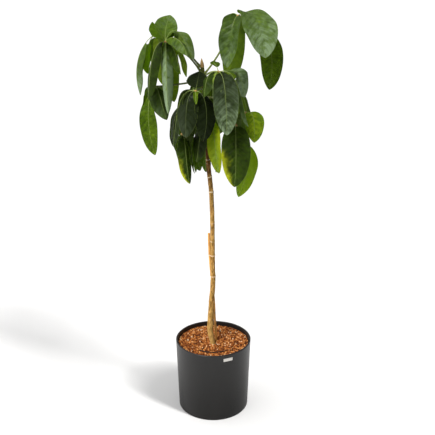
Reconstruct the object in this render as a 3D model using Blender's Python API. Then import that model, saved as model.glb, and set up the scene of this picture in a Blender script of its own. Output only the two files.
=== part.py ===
"""Umbrella tree on a bare stem, grown in clay granules in a round planter.

One object for each sub-part, in metres, +Z up. The origin is the middle of the planter's foot,
and the face that the photograph shows looks along -Y.
"""

import math
import random

import bmesh
import bpy
from mathutils import Vector
from mathutils.geometry import delaunay_2d_cdt

MM = 0.001
GAP = 0.3 * MM  # left wherever two separate pieces meet
SAME_POINT = 1e-6  # points closer than that are made one, in metres
SAME_LINE = 1e-9  # the same for points and edges in a flat cut-out

# Planter, a plain tapered cylinder
PLANTER_HEIGHT = 310 * MM
PLANTER_RIM_RADIUS = 160 * MM
PLANTER_FOOT_RADIUS = 150 * MM
PLANTER_WALL = 7 * MM
PLANTER_FLOOR = 12 * MM
PLANTER_EDGE = 2.5 * MM  # bevel of the foot and of the lip
LIP_TURN = 0.3  # share of the bevel at which the lip's outer corner is broken once more
PLANTER_SIDES = 48

# Blank metal plate on the planter's front
PLATE_WIDTH = 40 * MM
PLATE_HEIGHT = 14 * MM
PLATE_THICKNESS = 1.2 * MM
PLATE_AZIMUTH = math.radians(-67.3)
PLATE_MIDDLE = PLANTER_HEIGHT - 22 * MM
PLATE_COLUMNS = 6

# Grow pot that stands inside, and what fills both pots
FILL_LEVEL = PLANTER_HEIGHT - 20 * MM
GROW_RIM_RADIUS = 92 * MM
GROW_FOOT_RADIUS = 80 * MM
GROW_HEIGHT = 190 * MM
GROW_WALL = 2 * MM
GROW_SIDES = 40
GROW_RIM = FILL_LEVEL + 1.5 * MM
GROW_FOOT = GROW_RIM - GROW_HEIGHT
ROOT_TOP = FILL_LEVEL - 34 * MM
WALL_GAP = 1.5 * GAP  # between two round walls, whose facets don't line up
HOLE_LEAN = 0.1  # room that a hole leaves for a leaning piece, as a share of half its depth
GRAIN_PITCH = 10.5 * MM
GRAIN_RELIEF = 4.5 * MM
GRAIN_TOP = (0.55, 1.0)  # heights of the grains' tops, as shares of the relief
GRAIN_DIP = (-0.25, 0.1)  # the same for the dips between them
GRAIN_SHIFT = 0.18  # how far a grain may lie off its place, as a share of the pitch
GRAIN_CLEAR = 0.45  # how far it keeps from a wall, as a share of the pitch
GRAIN_SEED = 11

# Stem: x, y, z of its middle and its radius, all in millimetres
STEM = (
    (0, -12, 170, 9.5),
    (0, -12, 262, 10.5),
    (0, -12, 291, 10.8),
    (-7, -12, 312, 11.5),
    (-13, -12, 340, 11.9),
    (-13, -11, 371, 13),
    (-10.6, -10, 415, 12.8),
    (-7.6, -8, 488, 10.8),
    (-1.6, -4, 545, 10.7),
    (-0.3, -1.5, 598, 10.2),
    (-1, -1, 618, 9.4),
    (-2, 0, 740, 9.3),
    (-3, 1, 850, 9.2),
    (-5, 2, 915, 9.1),
    (-8, 1, 975, 9.0),
    (-17, 0, 1055, 9.0),
    (-20, 0, 1130, 9.0),
    (-23, 0, 1210, 9.0),
    (-29, 0, 1300, 8.8),
    (-35, 0, 1390, 8.4),
    (-38, 0, 1430, 7.8),
    (-40, 0, 1452, 6.6),
    (-41, 0, 1461, 6.4),
    (-41, 0, 1470, 4.4),
    (-42, 0, 1479, 1.0),
)
STEM_SIDES = 10
# Heights of the pale leaf scars, where the stem swells a little
SCARS = (1093, 1021, 959, 829, 750, 485)
SCAR_HALF_HEIGHT = 5
SCAR_SWELL = 1.07
LEAST_STEP = 1 * MM  # two rings of the stem lie that far apart or are made one

# Split cane that steadies the stem, as x, y, z of its middle in millimetres, and the ties round both
CANE = (
    (20, 17, 150),
    (12, 15.5, 300),
    (5.4, 15, 410),
    (3.8, 14.5, 468),
    (-8, 13, 605),
    (-13, 12.3, 655),
    (-15.7, 12, 707),
    (-17.5, 11.5, 781),
)
CANE_RADIUS = 5.2 * MM
CANE_SIDES = 10
TIE_HEIGHTS = {"tie_upper": 688 * MM, "tie_lower": 596 * MM}
TIE_BAND = 4 * MM
TIE_THICKNESS = 0.9 * MM
TIE_SIDES = 12

# Leaves
STALK_SIDES = 6
STALK_STEPS = 6
STALK_RADIUS = 3.4 * MM
STALK_FOOT_RADIUS = 5.2 * MM
HUB_RADIUS = 6.0 * MM
STALK_CLEAR = 0.6 * MM  # from the stem, which leans there
STALKLET_HALF = 1.5 * MM  # half the width of a leaflet's own stalk
BLADE_THICKNESS = 1.2 * MM
BLADE_STATIONS = (0.0, 0.09, 0.29, 0.56, 0.81, 0.95, 1.0)
WIDEST = 0.93  # power of the way along a blade. Under 1, its widest place lies before the middle
FULLNESS = 2.2  # the higher, the longer a blade stays wide
BASE_ROUND = 0.60  # the lower, the blunter a blade's base
TIP_TAPER = 0.16  # how much sharper its tip is than its base
WAVE = 0.035  # how far a margin waves, as a share of the blade's width
WAVES = (2.2, 2.0)  # how many waves the right and the left margin have
WAVE_STEP = 2.1  # by how much the waves of one leaflet run ahead of those of the one before
WAVE_LAG = 2.0  # the same for the left margin against the right one
LENGTH_OF_WIDTH = 2.3  # a leaflet is that many times as long as it is wide, or longer
LONGEST_ARCH = 200 * MM  # past that length only the reach to the tip counts
HANG_OUT = 0.35  # how far outwards a tip points for each step down
HANG_UP = 0.25  # how far up it points instead, where the tip is above the hub
TIP_PULL = 0.34  # how much of the length the tip's direction rules
ARC = 1.1  # length along the midrib for each step of length
LONGEST_STALK = 0.6  # share of a leaflet that its own stalk may take
FACE_EASE = 1.6  # how soon the blade has turned to its azimuth
TANGENT_STEP = 0.01  # share of the midrib over which its direction is taken

# Each leaf: name, hub (mm), height of its foot on the stem (mm), arch of its stalk (mm), and its
# leaflets. A leaflet is: tip from the hub (mm); the azimuth and rise in degrees at which it leaves
# the hub, and for how many mm it heads that way; the azimuth that its upper face turns to; its
# width (mm); the fold of its two halves in degrees, up if positive; the length of its stalk (mm).
LEAVES = (
    ("leaf_left_front", (-169, -80, 1542), 1430, 28, (
        ((-35, -110, 72), (-125, 45, 50), -110, 52, -25, 12),
        ((12, 95, 92), (100, 50, 50), 98, 88, 12, 8),
        ((100, 0, -62), (15, 74, 100), -50, 78, -8, 12),
        ((82, -100, -42), (-52, 42, 60), -62, 62, -30, 12),
        ((55, -40, -111), (-35, 5, 40), -50, 50, -42, 14),
        ((72, 15, -126), (12, 8, 55), 25, 66, 10, 18),
        ((8, -60, -250), (-84, 5, 50), -98, 58, -42, 12),
        ((22, 75, -225), (88, 10, 60), 84, 78, 8, 18),
        ((-66, -45, -200), (-165, 15, 60), -132, 66, -30, 14),
    )),
    ("leaf_left_back", (-217, 20, 1564), 1448, 32, (
        ((-62, 0, -225), (180, -30, 85), 182, 60, -50, 46),
        ((-37, 70, -150), (130, -25, 70), 150, 56, 12, 55),
        ((22, 70, -195), (70, 5, 60), 70, 70, 8, 42),
        ((-10, 120, -125), (100, -5, 60), 105, 56, -12, 45),
        ((60, 105, -115), (55, -5, 60), 55, 58, -12, 40),
    )),
    ("leaf_left_low", (-216, -50, 1380), 1398, -4, (
        ((46, -40, -118), (-66, 12, 45), -68, 84, -26, 16),
        ((-4, -14, -257), (212, -40, 55), -96, 68, 12, 50),
        ((-28, 115, -80), (115, 15, 60), 115, 56, -15, 26),
        ((18, 112, -95), (86, 12, 60), 86, 54, 10, 26),
        ((-46, 20, -100), (168, 0, 35), 165, 46, 10, 26),
    )),
    ("leaf_front", (21, -190, 1446), 1412, 10, (
        ((-10, -62, -146), (-110, 22, 55), -140, 52, -30, 20),
        ((30, -76, -209), (-66, 4, 70), -84, 92, 12, 26),
        ((107, -20, -189), (-12, 20, 80), -8, 58, -32, 52),
        ((96, 60, -96), (22, 14, 90), -55, 84, -12, 20),
        ((-50, -28, -84), (-170, 16, 45), -135, 60, -22, 20),
        ((-18, 84, 32), (104, 45, 50), 104, 36, 15, 20),
        ((12, 88, -120), (82, 10, 60), 84, 66, 8, 26),
    )),
    ("leaf_centre", (-60, -160, 1376), 1362, 8, (
        ((-34, -60, -156), (-138, 12, 50), -108, 84, -18, 28),
        ((12, 88, 62), (82, 38, 50), 84, 82, 10, 26),
        ((-88, 36, -208), (165, 15, 80), -165, 68, -18, 34),
        ((26, -36, -175), (-38, 8, 60), -70, 82, -12, 28),
        ((3, -64, -38), (-92, 5, 25), -92, 18, 20, 14),
        ((-20, 66, -194), (124, 28, 76), 118, 84, 8, 24),
    )),
    ("leaf_low_left", (-115, -70, 1206), 1250, 24, (
        ((29, -60, -179), (-72, 5, 50), -62, 64, -28, 20),
        ((47, -30, -147), (-32, 5, 50), -8, 42, -10, 24),
        ((66, 20, -148), (20, 5, 60), -60, 62, 4, 24),
        ((-6, 44, -125), (130, 5, 30), 130, 48, -12, 24),
        ((36, 60, -130), (55, 5, 50), 60, 54, 8, 24),
    )),
    ("leaf_low_front", (-6, -110, 1273), 1300, 16, (
        ((30, -30, -203), (-80, 0, 55), -112, 58, 24, 40),
        ((10, 44, -180), (70, 5, 45), -30, 50, 8, 26),
        ((-56, -8, -165), (175, 5, 45), -130, 74, -10, 24),
    )),
    ("leaf_right_low", (123, -110, 1291), 1335, 20, (
        ((28, -66, -98), (-60, 22, 65), -80, 74, 12, 24),
        ((-20, 25, -100), (150, 5, 30), 155, 52, 16, 18),
        ((38, 60, -110), (50, 10, 50), 52, 60, 8, 24),
        ((-20, 70, -110), (110, 10, 50), 110, 56, 8, 24),
    )),
    ("leaf_top_right", (92, -60, 1632), 1424, -22, (
        ((-40, -70, -177), (-118, 0, 55), -118, 88, 28, 14),
        ((-34, 66, -252), (106, 8, 70), 92, 88, 10, 18),
        ((92, -135, -138), (-45, 32, 100), -74, 130, 14, 12),
        ((120, 20, -265), (4, 2, 128), -78, 88, 4, 90),
        ((-40, 112, -100), (125, 28, 80), 125, 60, -10, 18),
        ((80, 105, -95), (45, 28, 80), 48, 64, -10, 18),
    )),
    ("leaf_right_front", (84, -150, 1254), 1286, 20, (
        ((-5, -72, -215), (-93, 8, 70), -88, 106, 6, 26),
        ((15, 60, -290), (20, -35, 124), -74, 74, 10, 110),
        ((-44, 22, -125), (158, 8, 40), 158, 48, 8, 24),
    )),
)

# Leaves on the far side, whose leaflets stand round their hub in an even ring: name, hub (mm),
# height of the foot on the stem (mm), arch of the stalk (mm), number of leaflets, azimuth of the
# first, and how far out and down their tips hang (mm)
FAR_LEAVES = (
    ("leaf_back", (-40, 188, 1392), 1420, 14, 6, 90, 74, 185),
    ("leaf_back_right", (85, 85, 1345), 1402, 14, 6, 20, 78, 175),
    ("leaf_back_left", (-108, 68, 1290), 1345, 16, 6, 100, 56, 172),
    ("leaf_back_low", (-30, 152, 1172), 1270, 18, 6, 90, 52, 165),
)
FAR_RISE = 12
FAR_RUN = 66
FAR_FOLD = -12
FAR_STALK = 28
FAR_SPREAD = 0.92  # width of a leaflet, as a share of its room in the ring
FAR_STEP = 0.06  # by what share every second leaflet reaches further, and hangs less low

FINISHES = {
    "anthracite": ((0.050, 0.050, 0.052), 0.55, 0.0),
    "steel": ((0.62, 0.61, 0.58), 0.35, 1.0),
    "black_plastic": ((0.020, 0.020, 0.020), 0.45, 0.0),
    "clay": ((0.340, 0.115, 0.045), 0.9, 0.0),
    "roots": ((0.200, 0.120, 0.060), 0.9, 0.0),
    "bark": ((0.330, 0.205, 0.095), 0.8, 0.0),
    "cane": ((0.520, 0.300, 0.095), 0.6, 0.0),
    "tie": ((0.620, 0.480, 0.300), 0.6, 0.0),
    "leaf": ((0.035, 0.110, 0.014), 0.4, 0.0),
}


def clear_scene():
    for obj in list(bpy.data.objects):
        bpy.data.objects.remove(obj)


def finish(name):
    """The Principled material of that name, made the first time it is asked for."""
    found = bpy.data.materials.get(name)
    if found:
        return found
    colour, roughness, metallic = FINISHES[name]
    made = bpy.data.materials.new(name)
    made.use_nodes = True
    shader = made.node_tree.nodes["Principled BSDF"]
    shader.inputs["Base Color"].default_value = (*colour, 1.0)
    shader.inputs["Roughness"].default_value = roughness
    shader.inputs["Metallic"].default_value = metallic
    return made


def object_from(name, bm, finish_name, sharp_degrees=35):
    """A smooth-shaded object from a bmesh, with its faces turned outwards."""
    bmesh.ops.recalc_face_normals(bm, faces=bm.faces)
    mesh = bpy.data.meshes.new(name)
    bm.to_mesh(mesh)
    bm.free()
    mesh.materials.append(finish(finish_name))
    mesh.shade_smooth()
    mesh.set_sharp_from_angle(angle=math.radians(sharp_degrees))
    obj = bpy.data.objects.new(name, mesh)
    bpy.context.scene.collection.objects.link(obj)
    return obj


def turned(name, profile, sides, finish_name):
    """The solid that a profile of (radius, height) points sweeps round Z, axis to axis."""
    bm = bmesh.new()
    points = [bm.verts.new((radius, 0.0, height)) for radius, height in profile]
    edges = [bm.edges.new(pair) for pair in zip(points, points[1:])]
    bmesh.ops.spin(
        bm, geom=points + edges, cent=(0, 0, 0), axis=(0, 0, 1), angle=math.tau, steps=sides, use_merge=True
    )
    bmesh.ops.remove_doubles(bm, verts=bm.verts, dist=SAME_POINT)
    return object_from(name, bm, finish_name)


def heading(degrees):
    """The level unit vector at an azimuth, counted from +X towards +Y."""
    return Vector((math.cos(math.radians(degrees)), math.sin(math.radians(degrees)), 0.0))


def right_of(degrees):
    """The level unit vector on the right of someone who looks along an azimuth."""
    return Vector((math.sin(math.radians(degrees)), -math.cos(math.radians(degrees)), 0.0))


def bezier(a, b, c, d, t):
    u = 1.0 - t
    return a * u**3 + b * (3 * u * u * t) + c * (3 * u * t * t) + d * t**3


def tube(bm, path, radii, sides, first_direction=None):
    """A closed tube along points, with flat ends. The first ring can face a given way."""
    rings = []
    across = None
    for i, point in enumerate(path):
        ahead = path[min(i + 1, len(path) - 1)] - path[max(i - 1, 0)]
        along = ahead.normalized()
        if i == 0 and first_direction is not None:
            along = first_direction.normalized()
        if across is None:
            across = along.orthogonal().normalized()
        across = (across - along * across.dot(along)).normalized()
        other = along.cross(across)
        turn = [math.tau * k / sides for k in range(sides)]
        around = [across * math.cos(a) + other * math.sin(a) for a in turn]
        rings.append([bm.verts.new(point + way * radii[i]) for way in around])
    for low, high in zip(rings, rings[1:]):
        for k in range(sides):
            bm.faces.new((low[k], low[(k + 1) % sides], high[(k + 1) % sides], high[k]))
    bm.faces.new(rings[0][::-1])
    bm.faces.new(rings[-1])


def wall_radius(height):
    """Outer radius of the planter at a height."""
    share = height / PLANTER_HEIGHT
    return PLANTER_FOOT_RADIUS + (PLANTER_RIM_RADIUS - PLANTER_FOOT_RADIUS) * share


def make_planter():
    edge = PLANTER_EDGE
    top = PLANTER_HEIGHT
    profile = [
        (0.0, 0.0),
        (wall_radius(0) - edge, 0.0),
        (wall_radius(edge), edge),
        (wall_radius(top - edge), top - edge),
        (PLANTER_RIM_RADIUS - LIP_TURN * edge, top - LIP_TURN * edge),
        (PLANTER_RIM_RADIUS - edge, top),
        (PLANTER_RIM_RADIUS - PLANTER_WALL + edge, top),
        (PLANTER_RIM_RADIUS - PLANTER_WALL, top - edge),
        (wall_radius(PLANTER_FLOOR) - PLANTER_WALL, PLANTER_FLOOR),
        (0.0, PLANTER_FLOOR),
    ]
    turned("planter", profile, PLANTER_SIDES, "anthracite")


def make_plate():
    """A thin plate bent round the planter's wall, a hair off it."""
    bm = bmesh.new()
    half_turn = 0.5 * PLATE_WIDTH / wall_radius(PLATE_MIDDLE)
    rows = []
    for column in range(PLATE_COLUMNS + 1):
        azimuth = PLATE_AZIMUTH + half_turn * (2 * column / PLATE_COLUMNS - 1)
        out = Vector((math.cos(azimuth), math.sin(azimuth), 0.0))
        corners = []
        for rise, depth in ((-0.5, 0), (0.5, 0), (0.5, 1), (-0.5, 1)):
            height = PLATE_MIDDLE + rise * PLATE_HEIGHT
            radius = wall_radius(height) + GAP + depth * PLATE_THICKNESS
            corners.append(bm.verts.new(out * radius + Vector((0, 0, height))))
        rows.append(corners)
    for left, right in zip(rows, rows[1:]):
        for k in range(4):
            bm.faces.new((left[k], left[(k + 1) % 4], right[(k + 1) % 4], right[k]))
    bm.faces.new(rows[0])
    bm.faces.new(rows[-1][::-1])
    object_from("plate", bm, "steel")


def grow_radius(height):
    """Outer radius of the grow pot at a height."""
    share = (height - GROW_FOOT) / GROW_HEIGHT
    return GROW_FOOT_RADIUS + (GROW_RIM_RADIUS - GROW_FOOT_RADIUS) * share


def make_grow_pot():
    inner_floor = GROW_FOOT + GROW_WALL
    profile = [
        (0.0, GROW_FOOT),
        (GROW_FOOT_RADIUS, GROW_FOOT),
        (GROW_RIM_RADIUS, GROW_RIM),
        (GROW_RIM_RADIUS - GROW_WALL, GROW_RIM),
        (grow_radius(inner_floor) - GROW_WALL, inner_floor),
        (0.0, inner_floor),
    ]
    turned("grow_pot", profile, GROW_SIDES, "black_plastic")


def circle(centre, radius, sides):
    turn = [math.tau * k / sides for k in range(sides)]
    return [Vector((centre[0] + radius * math.cos(a), centre[1] + radius * math.sin(a))) for a in turn]


def inside(point, loop):
    """Whether a point is in a loop that curves one way all round."""
    sides = [(b - a).cross(point - a) for a, b in zip(loop, loop[1:] + loop[:1])]
    return all(s > 0 for s in sides)


def grain_points(outer, holes, rng):
    """Points of a three-way grid inside outer and clear of the holes. One in three is a grain's top."""
    reach = max(p.length for p in outer)
    count = int(reach / GRAIN_PITCH) + 2
    found = []
    for row in range(-2 * count, 2 * count + 1):
        for column in range(-2 * count, 2 * count + 1):
            point = Vector((column + 0.5 * row, row * math.sqrt(0.75))) * GRAIN_PITCH
            point += Vector((rng.uniform(-1, 1), rng.uniform(-1, 1))) * GRAIN_SHIFT * GRAIN_PITCH
            if point.length > reach:
                continue
            clear = GRAIN_CLEAR * GRAIN_PITCH
            if min((point - p).length for p in outer) < clear or not inside(point, outer):
                continue
            if any(inside(point, hole) or min((point - p).length for p in hole) < clear for hole in holes):
                continue
            share = GRAIN_TOP if (column - row) % 3 == 0 else GRAIN_DIP
            found.append((point, GRAIN_RELIEF * rng.uniform(*share)))
    return found


def grain_bed(bm, outer, holes, level, rng):
    """A bed's grainy top, and the vertices of its outer and hole loops."""
    loops = [outer, *holes]
    grains = grain_points(outer, holes, rng)
    coords = [p for loop in loops for p in loop] + [p for p, _ in grains]
    lifts = [0.0] * sum(len(loop) for loop in loops) + [lift for _, lift in grains]
    edges = []
    start = 0
    for loop in loops:
        edges += [(start + k, start + (k + 1) % len(loop)) for k in range(len(loop))]
        start += len(loop)
    placed, _, faces, sources, _, _ = delaunay_2d_cdt(coords, edges, [], 0, SAME_LINE)
    verts = [None] * len(placed)
    for i, point in enumerate(placed):
        verts[i] = bm.verts.new((point.x, point.y, level + lifts[sources[i][0]]))
    for face in faces:
        middle = sum((placed[i] for i in face), Vector((0, 0))) / len(face)
        if inside(middle, outer) and not any(inside(middle, hole) for hole in holes):
            bm.faces.new([verts[i] for i in face])
    place = {source: verts[i] for i, found in enumerate(sources) for source in found}
    rims = []
    start = 0
    for loop in loops:
        rims.append([place[start + k] for k in range(len(loop))])
        start += len(loop)
    return rims


def drop_ring(bm, ring, radius, height):
    """A copy of a round ring at another radius and height, joined to it by a wall."""
    low = []
    for vert in ring:
        out = Vector((vert.co.x, vert.co.y)).normalized() * radius
        low.append(bm.verts.new((out.x, out.y, height)))
    wall(bm, ring, low)
    return low


def wall(bm, high, low):
    for k in range(len(high)):
        after = (k + 1) % len(high)
        bm.faces.new((high[k], high[after], low[after], low[k]))


def make_outer_fill(rng):
    """Clay granules between the planter and the grow pot, and under it."""
    bm = bmesh.new()
    inner_wall = wall_radius(FILL_LEVEL) - PLANTER_WALL - WALL_GAP
    outer = circle((0, 0), inner_wall, PLANTER_SIDES)
    hole = circle((0, 0), grow_radius(FILL_LEVEL) + WALL_GAP, GROW_SIDES)
    rim, ring = grain_bed(bm, outer, [hole], FILL_LEVEL, rng)
    floor = PLANTER_FLOOR + GAP
    bm.faces.new(drop_ring(bm, rim, wall_radius(floor) - PLANTER_WALL - WALL_GAP, floor))
    bm.faces.new(drop_ring(bm, ring, GROW_FOOT_RADIUS + WALL_GAP, GROW_FOOT - GAP))
    object_from("granules_outer", bm, "clay", sharp_degrees=60)


def row_at(rows, height):
    """The row of a table in millimetres at a height, which is each row's third number."""
    for low, high in zip(rows, rows[1:]):
        if height <= high[2] * MM:
            break
    t = (height / MM - low[2]) / (high[2] - low[2])
    return [(a + (b - a) * t) * MM for a, b in zip(low, high)]


def stem_at(height):
    """The stem's middle and radius at a height."""
    *middle, radius = row_at(STEM, height)
    return Vector(middle), radius


def cane_at(height):
    """The cane's middle at a height."""
    return Vector(row_at(CANE, height))


def plain_holes(top, bottom):
    """Loops for the stem's and the cane's holes in a bed that lies between two heights."""
    reach = max((cane_at(z) - cane_at(0.5 * (top + bottom))).length for z in (top, bottom))
    stem_middle, _ = stem_at(0.5 * (top + bottom))
    stem_radius = max(stem_at(top)[1], stem_at(bottom)[1]) * SCAR_SWELL
    cane_middle = cane_at(0.5 * (top + bottom))
    cane_hole = (CANE_RADIUS + GAP + HOLE_LEAN * reach) / math.cos(math.pi / CANE_SIDES)
    return [
        circle(stem_middle, stem_radius + GAP, STEM_SIDES),
        circle(cane_middle, cane_hole, CANE_SIDES),
    ]


def make_inner_fill(rng):
    """Loose granules on top of the root ball, with plain holes for the stem and the cane."""
    bm = bmesh.new()
    bottom = ROOT_TOP + GAP
    inner_wall = grow_radius(FILL_LEVEL) - GROW_WALL - WALL_GAP
    outer = circle((0, 0), inner_wall, GROW_SIDES)
    holes = plain_holes(FILL_LEVEL, bottom)
    rims = grain_bed(bm, outer, holes, FILL_LEVEL, rng)
    low = [drop_ring(bm, rims[0], grow_radius(bottom) - GROW_WALL - WALL_GAP, bottom)]
    for rim in rims[1:]:
        ring = [bm.verts.new((vert.co.x, vert.co.y, bottom)) for vert in rim]
        wall(bm, rim, ring)
        low.append(ring)
    cap_with_holes(bm, low)
    object_from("granules_inner", bm, "clay", sharp_degrees=60)


def cap_with_holes(bm, rings):
    """A flat face within the first ring and outside the others."""
    coords = [vert.co.xy for ring in rings for vert in ring]
    verts = [vert for ring in rings for vert in ring]
    edges = []
    start = 0
    for ring in rings:
        edges += [(start + k, start + (k + 1) % len(ring)) for k in range(len(ring))]
        start += len(ring)
    loops = [[vert.co.xy for vert in ring] for ring in rings]
    placed, _, faces, sources, _, _ = delaunay_2d_cdt(coords, edges, [], 0, SAME_LINE)
    for face in faces:
        middle = sum((placed[i] for i in face), Vector((0, 0))) / len(face)
        if inside(middle, loops[0]) and not any(inside(middle, loop) for loop in loops[1:]):
            bm.faces.new([verts[sources[i][0]] for i in face])


def make_root_ball():
    """Roots and granules grown into one plug that fills the grow pot."""
    bm = bmesh.new()
    floor = GROW_FOOT + GROW_WALL + GAP
    outer = circle((0, 0), grow_radius(ROOT_TOP) - GROW_WALL - WALL_GAP, GROW_SIDES)
    stem_bottom = STEM[0][2] * MM - GAP
    holes = plain_holes(ROOT_TOP, stem_bottom)
    top = [[bm.verts.new((*p, ROOT_TOP)) for p in loop] for loop in (outer, *holes)]
    cap_with_holes(bm, top)
    bm.faces.new(drop_ring(bm, top[0], grow_radius(floor) - GROW_WALL - WALL_GAP, floor))
    depths = (stem_bottom, CANE[0][2] * MM - GAP)
    for ring, depth in zip(top[1:], depths):
        low = [bm.verts.new((vert.co.x, vert.co.y, depth)) for vert in ring]
        wall(bm, ring, low)
        bm.faces.new(low)
    object_from("root_ball", bm, "roots")


def make_stem():
    """The woody stem, swollen at its leaf scars, with the pointed bud at its top."""
    rows = [(Vector(row[:3]) * MM, row[3] * MM) for row in STEM]
    for scar in SCARS:
        for offset, swell in ((-SCAR_HALF_HEIGHT, 1.0), (0, SCAR_SWELL), (SCAR_HALF_HEIGHT, 1.0)):
            middle, radius = stem_at((scar + offset) * MM)
            rows.append((middle, radius * swell))
    rows.sort(key=lambda row: row[0].z)
    kept = rows[:1]
    for row in rows[1:]:
        if row[0].z - kept[-1][0].z > LEAST_STEP:
            kept.append(row)
    bm = bmesh.new()
    tube(bm, [row[0] for row in kept], [row[1] for row in kept], STEM_SIDES, Vector((0, 0, 1)))
    object_from("stem", bm, "bark", sharp_degrees=50)


def make_cane():
    bm = bmesh.new()
    path = [Vector(row) * MM for row in CANE]
    tube(bm, path, [CANE_RADIUS] * len(path), CANE_SIDES)
    object_from("cane", bm, "cane")


def belt(first, first_radius, second, second_radius, sides):
    """Points of the tight loop round two circles, each an (x, y) middle and a radius."""
    points = circle(first, first_radius, sides) + circle(second, second_radius, sides)
    points.sort(key=lambda p: (p.x, p.y))
    chains = []
    for ordered in (points, points[::-1]):
        chain = []
        for p in ordered:
            while len(chain) > 1 and (chain[-1] - chain[-2]).cross(p - chain[-1]) <= 0:
                chain.pop()
            chain.append(p)
        chains += chain[:-1]
    return chains


def make_tie(name, height):
    """A flat band that runs round the stem and the cane."""
    bm = bmesh.new()
    stem_middle, stem_radius = stem_at(height)
    cane_middle = cane_at(height)
    clear = 2 * GAP
    loops = []
    for grow in (clear, clear + TIE_THICKNESS):
        loops.append(belt(stem_middle, stem_radius + grow, cane_middle, CANE_RADIUS + grow, TIE_SIDES))
    rings = []
    for loop in loops:
        for level in (height - 0.5 * TIE_BAND, height + 0.5 * TIE_BAND):
            rings.append([bm.verts.new((*p, level)) for p in loop])
    inner_low, inner_high, outer_low, outer_high = rings
    wall(bm, inner_high, inner_low)
    wall(bm, outer_high, outer_low)
    wall(bm, inner_high, outer_high)
    wall(bm, inner_low, outer_low)
    object_from(name, bm, "tie")


def blade_share(t):
    """Half-width of a leaflet along its blade, as a share of the widest: oblong with a pointed tip."""
    return max(1.0 - abs(2.0 * t**WIDEST - 1.0) ** FULLNESS, 0.0) ** (BASE_ROUND + TIP_TAPER * t)


class Leaflet:
    """The surface of one leaflet: a midrib that leaves the hub and hangs, and two folded halves."""

    def __init__(self, hub, row, index):
        tip, (azimuth, rise, run), face, width, fold, stalk = row
        self.width = width * MM
        self.fold = math.radians(fold)
        self.phase = WAVE_STEP * index
        reach = Vector(tip) * MM
        length = max(reach.length, min(LENGTH_OF_WIDTH * self.width, LONGEST_ARCH))
        leave = heading(azimuth) * math.cos(math.radians(rise))
        leave.z = math.sin(math.radians(rise))
        near = hub + leave * run * MM
        drift = hub + reach - near
        hang = Vector((drift.x, drift.y, 0.0)).normalized() * HANG_OUT
        hang.z = -1.0 if reach.z < 0 else HANG_UP
        far = hub + reach - hang.normalized() * TIP_PULL * length
        self.line = (hub, near, far, hub + reach)
        self.stalk_end = min(stalk * MM / (ARC * length), LONGEST_STALK)
        self.sides = (right_of(azimuth), right_of(face))

    def frame(self, t):
        """The midrib's point at t, with its right and upward directions."""
        point = bezier(*self.line, t)
        ahead = bezier(*self.line, min(t + TANGENT_STEP, 1.0))
        along = (ahead - bezier(*self.line, max(t - TANGENT_STEP, 0.0))).normalized()
        ease = t * t * (3 - 2 * t)
        right = self.sides[0].lerp(self.sides[1], min(FACE_EASE * ease, 1.0))
        right = (right - along * right.dot(along)).normalized()
        return point, right, right.cross(along)

    def section(self, blade_t):
        """Right margin, midrib and left margin at a share of the blade, and the upward direction."""
        t = self.stalk_end + (1 - self.stalk_end) * blade_t
        point, right, up = self.frame(t)
        half = max(0.5 * self.width * blade_share(blade_t), STALKLET_HALF)
        spread = right * math.cos(self.fold) * half
        lift = up * math.sin(self.fold) * half
        wave = WAVE * self.width * math.sin(math.pi * blade_t)
        ripple = up * wave * math.sin(math.tau * WAVES[0] * blade_t + self.phase)
        counter = up * wave * math.sin(math.tau * WAVES[1] * blade_t + self.phase + WAVE_LAG)
        return (point + spread + lift + ripple, point, point - spread + lift + counter), up

    def strip(self, bm):
        """A closed strip from inside the hub to the tip, two faces wide on both its faces."""
        point, right, up = self.frame(0.0)
        rows = [((point + right * STALKLET_HALF, point, point - right * STALKLET_HALF), up, STALKLET_HALF)]
        for share in BLADE_STATIONS:
            edge, up = self.section(share)
            rows.append((edge, up, STALKLET_HALF if share == 0.0 else 0.5 * BLADE_THICKNESS))
        rings = []
        for edge, up, half in rows:
            upper = [bm.verts.new(p + up * half) for p in edge]
            lower = [bm.verts.new(p - up * half) for p in reversed(edge)]
            rings.append(upper + lower)
        for k, (near, far) in enumerate(zip(rings, rings[1:])):
            strip_faces(bm, near, far, k % 2 == 0)
        for ring in (rings[0][::-1], rings[-1]):
            bm.faces.new((ring[0], ring[1], ring[4], ring[5]))
            bm.faces.new((ring[1], ring[2], ring[3], ring[4]))


def strip_faces(bm, near, far, flip):
    """Triangles between two six-point rings, split the same way on the upper and lower face."""
    for a in range(6):
        b = (a + 1) % 6
        if (a in (0, 1)) == flip:
            bm.faces.new((near[a], near[b], far[b]))
            bm.faces.new((near[a], far[b], far[a]))
        else:
            bm.faces.new((near[a], near[b], far[a]))
            bm.faces.new((near[b], far[b], far[a]))


def stalk_path(foot_height, hub, arch):
    """The middle line of a leaf's stalk, from beside the stem to its hub."""
    middle, radius = stem_at(foot_height)
    level = Vector((hub.x - middle.x, hub.y - middle.y, 0.0)).normalized()
    start = middle + level * (radius + STALK_CLEAR)
    span = hub - start
    near = start + span / 3 + Vector((0, 0, arch))
    far = start + span * 2 / 3 + Vector((0, 0, arch))
    return [bezier(start, near, far, hub, k / STALK_STEPS) for k in range(STALK_STEPS + 1)], level


def part_mesh(name, build, *arguments):
    """A temporary object whose mesh is built by a function that fills a bmesh."""
    bm = bmesh.new()
    build(bm, *arguments)
    bmesh.ops.recalc_face_normals(bm, faces=bm.faces)
    mesh = bpy.data.meshes.new(name)
    bm.to_mesh(mesh)
    bm.free()
    return bpy.data.objects.new(name, mesh)


def hub_ball(bm, hub):
    bmesh.ops.create_icosphere(bm, subdivisions=1, radius=HUB_RADIUS)
    bmesh.ops.translate(bm, vec=hub, verts=bm.verts)


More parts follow.
